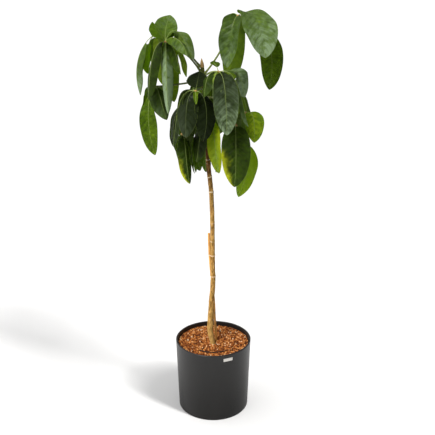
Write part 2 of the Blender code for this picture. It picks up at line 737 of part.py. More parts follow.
def ring_of_leaflets(count, first, reach, drop):
    """Leaflet rows in an even ring round the hub. Every second one hangs a little further out."""
    rows = []
    for k in range(count):
        azimuth = first + 360 * k / count
        out = reach * (1 + (FAR_STEP if k % 2 else -FAR_STEP))
        tip = heading(azimuth) * out
        tip.z = -drop * (1 - (FAR_STEP if k % 2 else 0.0))
        width = FAR_SPREAD * 2 * reach * math.sin(math.pi / count)
        rows.append((tip, (azimuth, FAR_RISE, FAR_RUN), azimuth, width, FAR_FOLD, FAR_STALK))
    return rows


def all_leaves():
    far = [(*leaf[:4], ring_of_leaflets(*leaf[4:])) for leaf in FAR_LEAVES]
    return [*LEAVES, *far]


def make_leaf(name, hub_mm, foot_mm, arch_mm, rows):
    """One whole leaf: stalk, hub and leaflets, joined in one body."""
    hub = Vector(hub_mm) * MM
    path, level = stalk_path(foot_mm * MM, hub, arch_mm * MM)
    radii = [STALK_RADIUS] * len(path)
    radii[0] = STALK_FOOT_RADIUS
    leaf = part_mesh(name, tube, path, radii, STALK_SIDES, level)
    bpy.context.scene.collection.objects.link(leaf)
    extra = bpy.data.collections.new(name + "_parts")
    extra.objects.link(part_mesh(name + "_hub", hub_ball, hub))
    for index, row in enumerate(rows):
        leaflet = Leaflet(hub, row, index)
        extra.objects.link(part_mesh(f"{name}_leaflet_{index}", leaflet.strip))
    join = leaf.modifiers.new("join", "BOOLEAN")
    join.operation = "UNION"
    join.operand_type = "COLLECTION"
    join.collection = extra
    apply_join(leaf, extra)


def apply_join(leaf, extra):
    """Replaces the leaf's mesh by its evaluated one, and removes the pieces that went into it."""
    bpy.context.view_layer.update()
    graph = bpy.context.evaluated_depsgraph_get()
    joined = bpy.data.meshes.new_from_object(leaf.evaluated_get(graph))
    leaf.modifiers.clear()
    leaf.data = joined
    for obj in list(extra.objects):
        bpy.data.objects.remove(obj)
    bpy.data.collections.remove(extra)
    joined.materials.clear()
    joined.materials.append(finish("leaf"))
    joined.shade_smooth()
    joined.set_sharp_from_angle(angle=math.radians(50))


def main():
    clear_scene()
    rng = random.Random(GRAIN_SEED)
    make_planter()
    make_plate()
    make_grow_pot()
    make_root_ball()
    make_outer_fill(rng)
    make_inner_fill(rng)
    make_stem()
    make_cane()
    for name, height in TIE_HEIGHTS.items():
        make_tie(name, height)
    for leaf in all_leaves():
        make_leaf(*leaf)


main()
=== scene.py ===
"""Looks of a potted umbrella tree: compound leaves, bark, cane, ties, clay granules and planter.

Laid out as a Blender add-on. Each operator makes one piece, or one group of like pieces, round the
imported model, in metres, +Z up. The face that the photograph shows looks along -Y.
"""

import math
import random

import bmesh
import bpy
import numpy as np
from bpy.props import FloatProperty, FloatVectorProperty, IntProperty, PointerProperty
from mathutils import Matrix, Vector


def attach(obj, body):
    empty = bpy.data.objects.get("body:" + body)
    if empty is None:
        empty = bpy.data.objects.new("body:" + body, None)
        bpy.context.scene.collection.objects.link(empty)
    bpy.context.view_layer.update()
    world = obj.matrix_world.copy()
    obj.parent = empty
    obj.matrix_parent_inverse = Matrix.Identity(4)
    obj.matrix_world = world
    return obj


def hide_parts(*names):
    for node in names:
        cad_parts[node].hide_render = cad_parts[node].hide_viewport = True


bl_info = {
    "name": "Potted umbrella tree",
    "version": (1, 0, 0),
    "blender": (4, 5, 0),
    "location": "3D View > Sidebar > Tree",
    "description": "Leaves, bark, cane, granules, planter and studio of a potted umbrella tree",
    "category": "Object",
}

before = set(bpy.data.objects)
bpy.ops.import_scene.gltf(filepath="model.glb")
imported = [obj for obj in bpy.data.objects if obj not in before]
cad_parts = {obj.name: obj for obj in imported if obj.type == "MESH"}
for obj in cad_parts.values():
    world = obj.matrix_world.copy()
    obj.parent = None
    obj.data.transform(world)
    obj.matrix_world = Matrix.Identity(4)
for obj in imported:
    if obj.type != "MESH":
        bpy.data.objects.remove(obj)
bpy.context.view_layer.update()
BODY = "root"
MM = 0.001
ASIDE = (0.3, 0.9, 0.2)  # a direction that no tube starts in

# Planter, plate and granules
PLANTER_HEIGHT = 310 * MM
PLANTER_RIM_RADIUS = 160 * MM
PLANTER_FOOT_RADIUS = 150 * MM
PLANTER_WALL = 7 * MM
PLANTER_FLOOR = 12 * MM
PLANTER_EDGE = 2.5 * MM
PLANTER_SIDES = 160
PLANTER_ROWS = 14  # rings on its outside and on its inside
PLATE_WIDTH = 40 * MM
PLATE_HEIGHT = 14 * MM
PLATE_THICKNESS = 1.2 * MM
PLATE_CORNER = 1.6 * MM
PLATE_BEVEL = 0.4 * MM
PLATE_RINGS = (1.0, 0.75, 0.5, 0.25, 0.02)  # sizes of the rings that fill its face
PLATE_AZIMUTH = math.radians(-67.3)
PLATE_MIDDLE = PLANTER_HEIGHT - 22 * MM
FILL_LEVEL = PLANTER_HEIGHT - 20 * MM
GROW_RIM_RADIUS = 92 * MM
GROW_FOOT_RADIUS = 80 * MM
GROW_HEIGHT = 190 * MM
GROW_WALL = 2 * MM
GROW_RIM = FILL_LEVEL + 1.5 * MM
GROW_FOOT = GROW_RIM - GROW_HEIGHT
BED_DROP = 7 * MM  # how far under the fill level the bed between the grains lies
UNDER_DROP = 4.2 * MM  # the same for the middles of the lower layer of grains
INNER_DEPTH = 34 * MM  # the same for the underside of the granules in the grow pot
BED_SIDES = 64
BED_SHADE = 0.3
GAP = 0.3 * MM  # room between pieces that lie against each other
AXIS_HOLE = 1 * MM  # how far from the axis a turned form begins
BARE_RIM = (-128, -56)  # azimuths in degrees between which the grow pot's rim shows
BARE_GAP = 2 * MM  # how far the grains stay off the rim there
RIM_COVER = 6 * MM  # how far they reach across it elsewhere
RIM_HEAP = (4.2 * MM, 7 * MM)  # rise of the grains over the covered rim, and how far out it fades
RIM_HOLLOW = (-3.4 * MM, 16 * MM)  # the same beside the bare rim, where they lie lower
UNEVEN = 1.2 * MM  # how far a grain may lie above or below its layer
CLOSENESS = 0.84  # how near grains lie, as a share of the sum of their radii
# Least distance of a grain's middle, as a share of its radius: from a wall, from the covered rim
# on its inside, and from stem and cane
WALL_ROOM = 0.9
RIM_ROOM = 0.3
STEM_ROOM = 0.75
TRIES = 40  # places that are drawn for one grain before it is given up
OUTER_GRAINS = (1500, 900)  # grains to place in the upper and in the lower layer
INNER_GRAINS = (850, 480)
UNDER_SHADE = 0.55  # how dark the painted shade on the lower layer is
GRAIN_SMALLNESS = 1.5  # the higher, the more of the grains are small
GRAIN_SQUASH = (0.80, 1.12)  # least and most stretch of a grain along each of its axes
GRAIN_KNOBS = 2.4  # the higher, the lumpier the lumpiest grains
GRAIN_LUMPS = ((0.10, 1.9), (0.07, 3.1))  # height and closeness of broad lumps and of fine ones
GRAIN_TINTS = (1.5, 1.4)  # the two shapes of the beta distribution that their tints follow
GRAIN_SHADE_FADE = (-1 * MM, 3 * MM)  # how far under its middle a grain begins to darken with painted shade, and is fully shaded
GRAIN_UNDERSIDE_SHADE = 0.85  # how dark the painted shade on its underside is
POT_PLASTIC = (0.014, 0.013, 0.012)
POT_DUST = (0.10, 0.05, 0.028)
ROOT_TINTS = ((0.3, (0.05, 0.025, 0.012)), (0.55, (0.20, 0.10, 0.05)), (0.8, (0.50, 0.38, 0.22)))

# Studio
FLOOR_RADIUS = 2.8  # metres
FLOOR_SIDES = 96
LAMP_TINT = (1.0, 0.99, 0.975)
WHITE = (1.0, 1.0, 1.0)
SEEN_STRENGTH = 1.05  # of the plain white that the camera sees round the floor
KEY_FROM = (-0.50, -0.72, 1.0)  # the direction that the light on the tree comes from
# Lights that only the floor takes up: name, share of the strength, the angle that it fills
# (degrees), and the direction it comes from. The first three cast the tree's shadow to the left.
FLOOR_LIGHTS = (
    ("floor_low", 1.32, 8, (0.86, -0.62, 1.0)),
    ("floor_middle", 0.88, 9, (0.66, -0.475, 1.0)),
    ("floor_high", 0.58, 10, (0.49, -0.35, 1.0)),
    ("floor_top", 0.70, 70, (0.0, 0.0, 1.0)),
)

# Stem: x, y, z of its middle and its radius, all in millimetres
STEM = (
    (0, -12, 170, 9.5),
    (0, -12, 262, 10.5),
    (0, -12, 291, 10.8),
    (-7, -12, 312, 11.5),
    (-13, -12, 340, 11.9),
    (-13, -11, 371, 13),
    (-10.6, -10, 415, 12.8),
    (-7.6, -8, 488, 10.8),
    (-1.6, -4, 545, 10.7),
    (-0.3, -1.5, 598, 10.2),
    (-1, -1, 618, 9.4),
    (-2, 0, 740, 9.3),
    (-3, 1, 850, 9.2),
    (-5, 2, 915, 9.1),
    (-8, 1, 975, 9.0),
    (-17, 0, 1055, 9.0),
    (-20, 0, 1130, 9.0),
    (-23, 0, 1210, 9.0),
    (-29, 0, 1300, 8.8),
    (-35, 0, 1390, 8.4),
    (-38, 0, 1430, 7.8),
    (-40, 0, 1452, 6.6),
    (-41, 0, 1461, 6.4),
    (-41, 0, 1470, 4.4),
    (-42, 0, 1479, 1.0),
)
STEM_SIDES = 40
STEM_STEP = 2.5 * MM
# Ridges round the stem: height as a share of its radius, number, and turn in radians for a metre
STEM_RIDGES = ((0.020, 3, 90), (0.014, 7, -50), (0.012, 11, 230))
# Leaf scars: their heights in millimetres, and how pale they are
SCARS = (
    (1093, 1.0),
    (1075, 0.5),
    (1021, 1.0),
    (991, 0.45),
    (959, 0.9),
    (829, 0.7),
    (750, 0.8),
    (485, 0.35),
    (331, 0.5),
)
SCAR_FIRST = -100  # azimuth in degrees of the uppermost scar's front
SCAR_TURN = 137  # degrees from one scar's front to the front of the next one down
SCAR_LEAN = 1.8 * MM  # how much higher a scar's front is than its sides
SCAR_HALF = 2.3 * MM  # half of its height
SCAR_FADE = 0.2025  # how much fainter its sides are than its front
SCAR_LIP = 0.12  # how far it stands out, as a share of the stem's radius
NODE_SWELL = 0.05  # how much thicker the stem is at a scar
NODE_HALF = 6 * MM  # and how far above and below it
BUD_FOOT = 1446 * MM
BUD_EDGE = (BUD_FOOT - 2 * MM, BUD_FOOT + 3 * MM)  # heights between which bark becomes bud
BUD_SCALES = (0.10, 2, 160)  # as the stem's ridges
RED_BARK = (0.93, 1.12)  # heights in metres between which tan bark becomes red-brown
GREEN_BARK = (1.34, 1.43)  # and red-brown bark becomes green
PALE_BARK = (0.45, 0.30)  # and between which it becomes paler downwards

# Cane, as x, y, z of its middle in millimetres, and ties
CANE = (
    (20, 17, 150),
    (12, 15.5, 300),
    (5.4, 15, 410),
    (3.8, 14.5, 468),
    (-8, 13, 605),
    (-13, 12.3, 655),
    (-15.7, 12, 707),
    (-17.5, 11.5, 781),
)
CANE_RADIUS = 5.2 * MM
CANE_JOINTS = (0.16, 0.43, 0.72)  # where along the cane its knuckles are
KNUCKLE_HALF = 1.6 * MM
CANE_WAIST = 0.95  # radius between the knuckles, as a share of the radius at them
CANE_FLUTES = (0.012, 5, 3)  # as the stem's ridges, but the turn is over the whole length
CUT_ROUND = (0.08, 0.7 * MM)  # how much thinner a cut end is, and over what length
CANE_SIDES = 28
CANE_STEP = 3 * MM
BEND_ROOM = 22 * MM  # how far above and below a corner of stem or cane its rounding reaches
BEND_SAMPLES = 9  # places in that room whose mean rounds it off
TIE_HEIGHTS = {"tie_upper": 688 * MM, "tie_lower": 596 * MM}
TIE_BAND = 4 * MM
TIE_THICKNESS = 0.9 * MM
TIE_SQUARE = 0.6  # the lower, the squarer the edges of a tie
TIE_SWAY = 0.8 * MM  # how far a tie rises and dips on its way round
TIE_SIDES = 12
TIE_STEPS = 28  # points on each of its two bends

# Leaves
STALK_RADIUS = 3.4 * MM
STALK_FOOT_RADIUS = 5.2 * MM
STALK_CLEAR = 0.6 * MM
HUB_RADIUS = 6.0 * MM
WIDEST = 0.93  # power of the way along a blade. Under 1, its widest place lies before the middle
FULLNESS = 2.2  # the higher, the longer a blade stays wide
BASE_ROUND = 0.60  # the lower, the blunter a blade's base
TIP_TAPER = 0.16  # how much sharper its tip is than its base
WAVE = 0.035  # how far a margin waves, as a share of the blade's width
WAVES = (2.2, 2.0)  # how many waves the right and the left margin have
WAVE_STEP = 2.1  # by how much the waves of one leaflet run ahead of those of the one before
WAVE_LAG = 2.0  # the same for the left margin against the right one
LENGTH_OF_WIDTH = 2.3  # a leaflet is that many times as long as it is wide, or longer
LONGEST_ARCH = 200 * MM  # past that length only the reach to the tip counts
HANG_OUT = 0.35  # how far outwards a tip points for each step down
HANG_UP = 0.25  # how far up it points instead, where the tip is above the hub
TIP_PULL = 0.34  # how much of the length the tip's direction rules
ARC = 1.1  # length along the midrib for each step of length
LONGEST_STALK = 0.6  # share of a leaflet that its own stalk may take
FACE_EASE = 1.6  # how soon the blade has turned to its azimuth
TANGENT_STEP = 0.01  # share of the midrib over which its direction is taken
BLADE_HALF = 0.35 * MM  # half the thickness of a blade
TIP_HALF = 0.4 * MM  # half its width at the tip
LEAST_VEINS = 7  # side veins that the shortest blades have on each half
VEIN_PITCH = 25 * MM
VEIN_SLANT = 0.36  # how far a side vein runs towards the tip, as a share of the blade's width
VEIN_BEND = 1.3  # over 1, a side vein leaves the midrib squarely and bends towards the tip
QUILTING = 2.1 * MM  # how deep a blade sinks at its side veins
QUILT_START = (0.06, 0.3)  # shares of half the width over which the sinking sets in
QUILT_SHARPNESS = 1.6  # the higher, the narrower the furrows
GROOVE = (0.7 * MM, 3 * MM)  # how deep it sinks along its midrib, and how far to each side
MARGIN_CURL = 0.07  # how far its margins curl down, as a share of half its width
# Powers of the way out from the midrib: the higher, the closer a thing keeps to the margin
FOLD_BEND = 1.25
WAVE_BEND = 1.8
YELLOW_BEND = 1.2
RIB_RADII = (2.2, 1.35, 1.05, 0.3)  # mm: at the hub, on the stalklet, at the blade, at the tip
RIB_TONES = (1.0, 0.45, 0.6, 0.6)
RIB_SECOND = (0.5, 0.35)  # shares of the stalklet at which the second radius and tone are
RIB_SINK = 0.35  # how deep the midrib lies in the blade, as a share of its radius
ON_BLADE = (0.7, 1.2)  # shares of the stalklet between which it becomes the midrib
RIB_SIDES = 8
STALK_SIDES = 14
STALK_STEPS = 30
STALK_TONES = ((0, 0.1, 0.9, 1), (0.30, 0.12, 0.2, 0.5))  # shares of the length, and tones there
STALK_FOOT_LENGTH = 14 * MM  # how far the swelling of its foot reaches
STALK_SUNK = 0.6  # how deep its foot lies in the bark, as a share of the stem's radius
HUB_SWELL = (1.2 * MM, 9 * MM)  # how much thicker it is at the hub, and how far
HUB_FLATNESS = 0.8
HUB_RINGS = 9
HUB_POLE = 0.3 * MM  # radius of the knob's first and last ring
HUB_TONE = 0.95
HALF_COLUMNS = np.array((0.05, 0.14, 0.29, 0.46, 0.64, 0.83, 1.0))
COLUMNS = np.concatenate((-HALF_COLUMNS[::-1], HALF_COLUMNS))  # from the left margin to the right

# Each leaf: name, hub (mm), height of its foot on the stem (mm), arch of its stalk (mm), and its
# leaflets. A leaflet is: tip from the hub (mm); the azimuth and rise in degrees at which it leaves
# the hub, and for how many mm it heads that way; the azimuth that its upper face turns to; its
# width (mm); the fold of its two halves in degrees, up if positive; the length of its stalk (mm).
LEAVES = (
    ("leaf_left_front", (-169, -80, 1542), 1430, 28, (
        ((-35, -110, 72), (-125, 45, 50), -110, 52, -25, 12),
        ((12, 95, 92), (100, 50, 50), 98, 88, 12, 8),
        ((100, 0, -62), (15, 74, 100), -50, 78, -8, 12),
        ((82, -100, -42), (-52, 42, 60), -62, 62, -30, 12),
        ((55, -40, -111), (-35, 5, 40), -50, 50, -42, 14),
        ((72, 15, -126), (12, 8, 55), 25, 66, 10, 18),
        ((8, -60, -250), (-84, 5, 50), -98, 58, -42, 12),
        ((22, 75, -225), (88, 10, 60), 84, 78, 8, 18),
        ((-66, -45, -200), (-165, 15, 60), -132, 66, -30, 14),
    )),
    ("leaf_left_back", (-217, 20, 1564), 1448, 32, (
        ((-62, 0, -225), (180, -30, 85), 182, 60, -50, 46),
        ((-37, 70, -150), (130, -25, 70), 150, 56, 12, 55),
        ((22, 70, -195), (70, 5, 60), 70, 70, 8, 42),
        ((-10, 120, -125), (100, -5, 60), 105, 56, -12, 45),
        ((60, 105, -115), (55, -5, 60), 55, 58, -12, 40),
    )),
    ("leaf_left_low", (-216, -50, 1380), 1398, -4, (
        ((46, -40, -118), (-66, 12, 45), -68, 84, -26, 16),
        ((-4, -14, -257), (212, -40, 55), -96, 68, 12, 50),
        ((-28, 115, -80), (115, 15, 60), 115, 56, -15, 26),
        ((18, 112, -95), (86, 12, 60), 86, 54, 10, 26),
        ((-46, 20, -100), (168, 0, 35), 165, 46, 10, 26),
    )),
    ("leaf_front", (21, -190, 1446), 1412, 10, (
        ((-10, -62, -146), (-110, 22, 55), -140, 52, -30, 20),
        ((30, -76, -209), (-66, 4, 70), -84, 92, 12, 26),
        ((107, -20, -189), (-12, 20, 80), -8, 58, -32, 52),
        ((96, 60, -96), (22, 14, 90), -55, 84, -12, 20),
        ((-50, -28, -84), (-170, 16, 45), -135, 60, -22, 20),
        ((-18, 84, 32), (104, 45, 50), 104, 36, 15, 20),
        ((12, 88, -120), (82, 10, 60), 84, 66, 8, 26),
    )),
    ("leaf_centre", (-60, -160, 1376), 1362, 8, (
        ((-34, -60, -156), (-138, 12, 50), -108, 84, -18, 28),
        ((12, 88, 62), (82, 38, 50), 84, 82, 10, 26),
        ((-88, 36, -208), (165, 15, 80), -165, 68, -18, 34),
        ((26, -36, -175), (-38, 8, 60), -70, 82, -12, 28),
        ((3, -64, -38), (-92, 5, 25), -92, 18, 20, 14),
        ((-20, 66, -194), (124, 28, 76), 118, 84, 8, 24),
    )),
    ("leaf_low_left", (-115, -70, 1206), 1250, 24, (
        ((29, -60, -179), (-72, 5, 50), -62, 64, -28, 20),
        ((47, -30, -147), (-32, 5, 50), -8, 42, -10, 24),
        ((66, 20, -148), (20, 5, 60), -60, 62, 4, 24),
        ((-6, 44, -125), (130, 5, 30), 130, 48, -12, 24),
        ((36, 60, -130), (55, 5, 50), 60, 54, 8, 24),
    )),
    ("leaf_low_front", (-6, -110, 1273), 1300, 16, (
        ((30, -30, -203), (-80, 0, 55), -112, 58, 24, 40),
        ((10, 44, -180), (70, 5, 45), -30, 50, 8, 26),
        ((-56, -8, -165), (175, 5, 45), -130, 74, -10, 24),
    )),
    ("leaf_right_low", (123, -110, 1291), 1335, 20, (
        ((28, -66, -98), (-60, 22, 65), -80, 74, 12, 24),
        ((-20, 25, -100), (150, 5, 30), 155, 52, 16, 18),
        ((38, 60, -110), (50, 10, 50), 52, 60, 8, 24),
        ((-20, 70, -110), (110, 10, 50), 110, 56, 8, 24),
    )),
    ("leaf_top_right", (92, -60, 1632), 1424, -22, (
        ((-40, -70, -177), (-118, 0, 55), -118, 88, 28, 14),
        ((-34, 66, -252), (106, 8, 70), 92, 88, 10, 18),
        ((92, -135, -138), (-45, 32, 100), -74, 130, 14, 12),
        ((120, 20, -265), (4, 2, 128), -78, 88, 4, 90),
        ((-40, 112, -100), (125, 28, 80), 125, 60, -10, 18),
        ((80, 105, -95), (45, 28, 80), 48, 64, -10, 18),
    )),
    ("leaf_right_front", (84, -150, 1254), 1286, 20, (
        ((-5, -72, -215), (-93, 8, 70), -88, 106, 6, 26),
        ((15, 60, -290), (20, -35, 124), -74, 74, 10, 110),
        ((-44, 22, -125), (158, 8, 40), 158, 48, 8, 24),
    )),
)

# Leaves on the far side, whose leaflets stand round their hub in an even ring: name, hub (mm),
# height of the foot on the stem (mm), arch of the stalk (mm), number of leaflets, azimuth of the
# first, and how far out and down their tips hang (mm)
FAR_LEAVES = (
    ("leaf_back", (-40, 188, 1392), 1420, 14, 6, 90, 74, 185),
    ("leaf_back_right", (85, 85, 1345), 1402, 14, 6, 20, 78, 175),
    ("leaf_back_left", (-108, 68, 1290), 1345, 16, 6, 100, 56, 172),
    ("leaf_back_low", (-30, 152, 1172), 1270, 18, 6, 90, 52, 165),
)
FAR_RISE = 12  # degrees at which their leaflets leave the hub
FAR_RUN = 66  # millimetres over which they head that way
FAR_FOLD = -12  # degrees
FAR_STALK = 28  # millimetres
FAR_SPREAD = 0.92  # width of a leaflet as a share of the room that it has in the ring
FAR_STEP = 0.06  # how much further out and higher every second one hangs

# How light each leaflet is, in the order of its leaf's rows: 0 is old and deep, 1 young and bright.
# This is partly age and partly painted light and shade: leaflets in the crown's shade are painted
# darker, some under 0, and some lit ones brighter, some past 1. Past either end, fewer of its
# mottles show the next green.
TONES_AND_PAINTED_LIGHT = {
    "leaf_left_front": (0.70, 0.50, 0.66, 0.50, 0.35, 0.95, 0.60, 0.90, 0.16),
    "leaf_left_back": (0.45, 0.80, 0.95, 0.45, 0.40),
    "leaf_left_low": (0.22, 0.52, 0.45, 0.40, 0.45),
    "leaf_front": (0.82, 0.02, 0.38, 0.38, 0.22, 0.45, 0.30),
    "leaf_centre": (-0.12, -0.10, 0.04, -0.28, 0.62, -0.10),
    "leaf_low_left": (0.18, 0.34, 0.40, 0.36, 0.40),
    "leaf_low_front": (1.25, 0.45, 0.06),
    "leaf_right_low": (0.76, 0.26, 0.50, 0.40),
    "leaf_top_right": (0.38, 0.74, 0.52, 0.48, 0.45, 0.42),
    "leaf_right_front": (0.18, 1.35, 0.40),
    "leaf_back": (0.45, 0.50, 0.40, 0.55, 0.45, 0.50),
    "leaf_back_right": (0.60, 0.55, 0.50, 0.45, 0.55, 0.60),
    "leaf_back_left": (0.30, 0.22, 0.04, 0.0, 0.12, 0.25),
    "leaf_back_low": (0.45, 0.50, 0.45, 0.40, 0.50, 0.45),
}
# Leaflets with a yellow margin: how strong it is on the right and on the left half, and how far
# along the blade it begins, under 0 before its foot
YELLOW = {
    ("leaf_low_left", 0): (0.85, 0.0, 0.36),
    ("leaf_low_front", 0): (0.8, 1.4, -0.35),
    ("leaf_right_front", 0): (0.82, 0.1, 0.28),
    ("leaf_right_front", 1): (0.0, 0.55, 0.35),
}
YELLOW_RISE = 0.35  # share of the blade over which it sets in
# How much painted sheen some leaflets of a leaf show: pale bluish patches between the side veins,
# painted into the colour in place of reflected light. The others have the least.
PAINTED_SHEEN = {
    "leaf_left_front": {0: 0.40, 1: 0.30, 2: 0.90, 3: 0.25, 6: 3.3},
    "leaf_left_back": {0: 0.75},
    "leaf_left_low": {0: 0.20},
    "leaf_centre": {0: 0.07},
    "leaf_front": {0: 1.7, 1: 0.66, 2: 0.50, 3: 2.2},
    "leaf_low_front": {0: 0.30},
    "leaf_top_right": {0: 0.45, 2: 1.15},
    "leaf_right_front": {1: 0.30},
}
LEAST_PAINTED_SHEEN = 0.02
RIB_DULLING_TONES = (-0.15, 0.05)  # a leaflet's midrib is dull under the first tone and pale over the second; low tones are partly painted shade, so the dulling is partly painted shade too


class Wire:
    """An output of a node. Arithmetic on it adds Math nodes, so masks read as plain sums."""

    def __init__(self, tree, socket):
        self.tree = tree
        self.socket = socket

    def __add__(self, other):
        return self.tree.maths("ADD", self, other)

    def __sub__(self, other):
        return self.tree.maths("SUBTRACT", self, other)

    def __rsub__(self, other):
        return self.tree.maths("SUBTRACT", other, self)

    def __mul__(self, other):
        return self.tree.maths("MULTIPLY", self, other)

    def __abs__(self):
        return self.tree.maths("ABSOLUTE", self)

    __radd__ = __add__
    __rmul__ = __mul__


class Tree:
    """The emptied node tree of a material or of the world, filled by calls."""

    def __init__(self, owner, end):
        owner.use_nodes = True
        self.owner = owner
        self.graph = owner.node_tree
        self.graph.nodes.clear()
        self.end = self.graph.nodes.new(end)

    def add(self, kind, settings=None, sockets=None, output=0):
        """A node of that type. Its settings are set first, then its sockets get values or links."""
        node = self.graph.nodes.new(kind)
        for name, value in (settings or {}).items():
            if name == "stops":
                fill_ramp(node.color_ramp, value)
            else:
                setattr(node, name, value)
        for key, value in (sockets or {}).items():
            self.plug(node.inputs[key], value)
        return Wire(self, node.outputs[output])

    def plug(self, socket, value):
        if isinstance(value, Wire):
            self.graph.links.new(value.socket, socket)
        elif socket.type == "RGBA":
            socket.default_value = (*tuple(value)[:3], 1.0)
        else:
            socket.default_value = value

    def maths(self, operation, *values):
        return self.add("ShaderNodeMath", {"operation": operation}, dict(enumerate(values)))

    def mix(self, factor, low, high):
        """A colour between two others."""
        return self.add("ShaderNodeMix", {"data_type": "RGBA"}, {0: factor, 6: low, 7: high}, 2)

    def coated(self, colour, *coats):
        """A colour with others laid over it one by one, each as (factor, colour)."""
        for factor, coat in coats:
            colour = self.mix(factor, colour, coat)
        return colour

    def smooth(self, value, low, high):
        """0 at low, 1 at high, and a smooth step between. Low may be the higher number."""
        sockets = {"Value": value, "From Min": low, "From Max": high}
        return self.add("ShaderNodeMapRange", {"interpolation_type": "SMOOTHSTEP"}, sockets)

    def beat(self, value):
        """1 at whole numbers, 0 half-way between them, and straight slopes."""
        return abs(self.maths("FRACT", value) - 0.5) * 2

    def ramp(self, value, *stops):
        """A colour ramp with (position, colour) stops."""
        return self.add("ShaderNodeValToRGB", {"stops": stops}, {"Fac": value})

    def point_values(self, *names):
        """Values that the mesh holds at its points."""
        kind = "ShaderNodeAttribute"
        return [self.add(kind, {"attribute_name": name}, output="Fac") for name in names]

    def place(self, *stretch):
        """The point in metres, with each axis scaled if a stretch is given."""
        here = self.add("ShaderNodeTexCoord", output="Object")
        if not stretch:
            return here
        sockets = {"Vector": here, "Scale": stretch}
        return self.add("ShaderNodeMapping", {"vector_type": "POINT"}, sockets)

    def height(self, here):
        return self.add("ShaderNodeSeparateXYZ", None, {"Vector": here}, "Z")

    def noise(self, where, size, detail=3.0):
        """Cloudy noise from 0 to 1 whose blots are about that many metres across."""
        sockets = {"Vector": where, "Scale": 1.0 / size, "Detail": detail}
        return self.add("ShaderNodeTexNoise", None, sockets)

    def cells(self, where, size, feature="DISTANCE_TO_EDGE"):
        """Distance to the nearest cell's edge or middle, for cells of about that many metres."""
        sockets = {"Vector": where, "Scale": 1.0 / size}
        return self.add("ShaderNodeTexVoronoi", {"feature": feature}, sockets)

    def bump(self, height, depth):
        return self.add("ShaderNodeBump", None, {"Height": height, "Distance": depth})

    def principled(self, **sockets):
        named = {name.replace("_", " "): value for name, value in sockets.items()}
        return self.add("ShaderNodeBsdfPrincipled", None, named)

    def finish(self, shader):
        """The owner, with its surface linked and its nodes set in columns of ten to be read."""
        self.graph.links.new(shader.socket, self.end.inputs["Surface"])
        for k, node in enumerate(self.graph.nodes):
            node.location = (-220 * (k // 10), -240 * (k % 10))
        return self.owner

    def finish_skin(self, **sockets):
        return self.finish(self.principled(**sockets))


def fill_ramp(ramp, stops):
    while len(ramp.elements) < len(stops):
        ramp.elements.new(1.0)
    for element, (position, colour) in zip(ramp.elements, stops):
        element.position = position
        element.color = (*tuple(colour)[:3], 1.0)


def material_tree(name):
    return Tree(bpy.data.materials.new(name), "ShaderNodeOutputMaterial")


def linked(name, data, scene):
    made = bpy.data.objects.new(name, data)
    scene.collection.objects.link(made)
    return made


class Shell:
    """Points, faces and point values of one mesh, gathered grid by grid."""

    def __init__(self, *value_names):
        self.points = []
        self.faces = []
        self.slots = []
        self.values = {name: [] for name in value_names}
        self.count = 0

    def note(self, points, slot, faces, values):
        self.points.append(points.reshape(-1, 3))
        self.faces += faces
        self.slots += [slot] * len(faces)
        shape = points.shape[:-1]
        for name, kept in self.values.items():
            kept.append(np.broadcast_to(values.get(name, 0.0), shape).ravel())
        self.count += int(np.prod(shape))

    def grid(self, points, slot=0, looped=False, **values):
        """Rows of points, each a closed ring, joined by four-sided faces. The ends are capped, or
        joined to each other if looped."""
        rows, columns = points.shape[:2]
        index = np.arange(rows * columns).reshape(rows, columns) + self.count
        near = index if looped else index[:-1]
        far = np.roll(index, -1, axis=0) if looped else index[1:]
        quads = np.stack((near, np.roll(near, -1, 1), np.roll(far, -1, 1), far), axis=-1)
        faces = quads.reshape(-1, 4).tolist()
        if not looped:
            faces += [index[0, ::-1].tolist(), index[-1].tolist()]
        self.note(points, slot, faces, values)

    def scattered(self, points, triangles, **values):
        """Copies of one closed form: the points copy by copy, and the triangles that each has."""
        copies, size = points.shape[:2]
        starts = np.arange(copies)[:, None, None] * size + self.count
        self.note(points, 0, (triangles[None] + starts).reshape(-1, 3).tolist(), values)

    def made(self, name, slot_name, materials, nodes, sharp_degrees=50):
        """The finished piece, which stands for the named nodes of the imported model."""
        mesh = bpy.data.meshes.new(name)
        mesh.from_pydata(np.concatenate(self.points), [], self.faces)
        for material in materials:
            mesh.materials.append(material)
        mesh.polygons.foreach_set("material_index", self.slots)
        for key, kept in self.values.items():
            found = mesh.attributes.new(key, "FLOAT", "POINT")
            found.data.foreach_set("value", np.concatenate(kept).astype(np.float32))
        mesh.shade_smooth()
        mesh.set_sharp_from_angle(angle=math.radians(sharp_degrees))
        piece = linked(name, mesh, bpy.context.scene)
        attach(piece, BODY)
        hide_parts(*nodes)
        return piece


def turn(sides):
    return np.arange(sides) * (math.tau / sides)


def turned(shell, profile, sides, **values):
    """The closed form that a profile of (radius, height) points sweeps round Z, from its underside
    outwards, up and back inwards."""
    radius, height = np.array(profile).T
    angle = turn(sides)
    rings = np.empty((len(profile), sides, 3))
    rings[..., 0] = radius[:, None] * np.cos(angle)
    rings[..., 1] = radius[:, None] * np.sin(angle)
    rings[..., 2] = height[:, None]
    shell.grid(rings, **values)


def tube(shell, path, radii, sides, slot=0, swell=None, **values):
    """A closed tube along points. Swell scales the radius of each point of each ring."""
    path = np.asarray(path, float)
    along = np.gradient(path, axis=0)
    along /= np.linalg.norm(along, axis=1)[:, None]
    across = np.cross(along[0], ASIDE)
    rings = np.empty((len(path), sides, 3))
    angle = turn(sides)[:, None]
    for k, ahead in enumerate(along):
        across = across - ahead * across.dot(ahead)
        across /= np.linalg.norm(across)
        other = np.cross(ahead, across)
        radius = radii[k] if swell is None else radii[k] * swell[k][:, None]
        rings[k] = path[k] + (across * np.cos(angle) + other * np.sin(angle)) * radius
    shell.grid(rings, slot, **values)


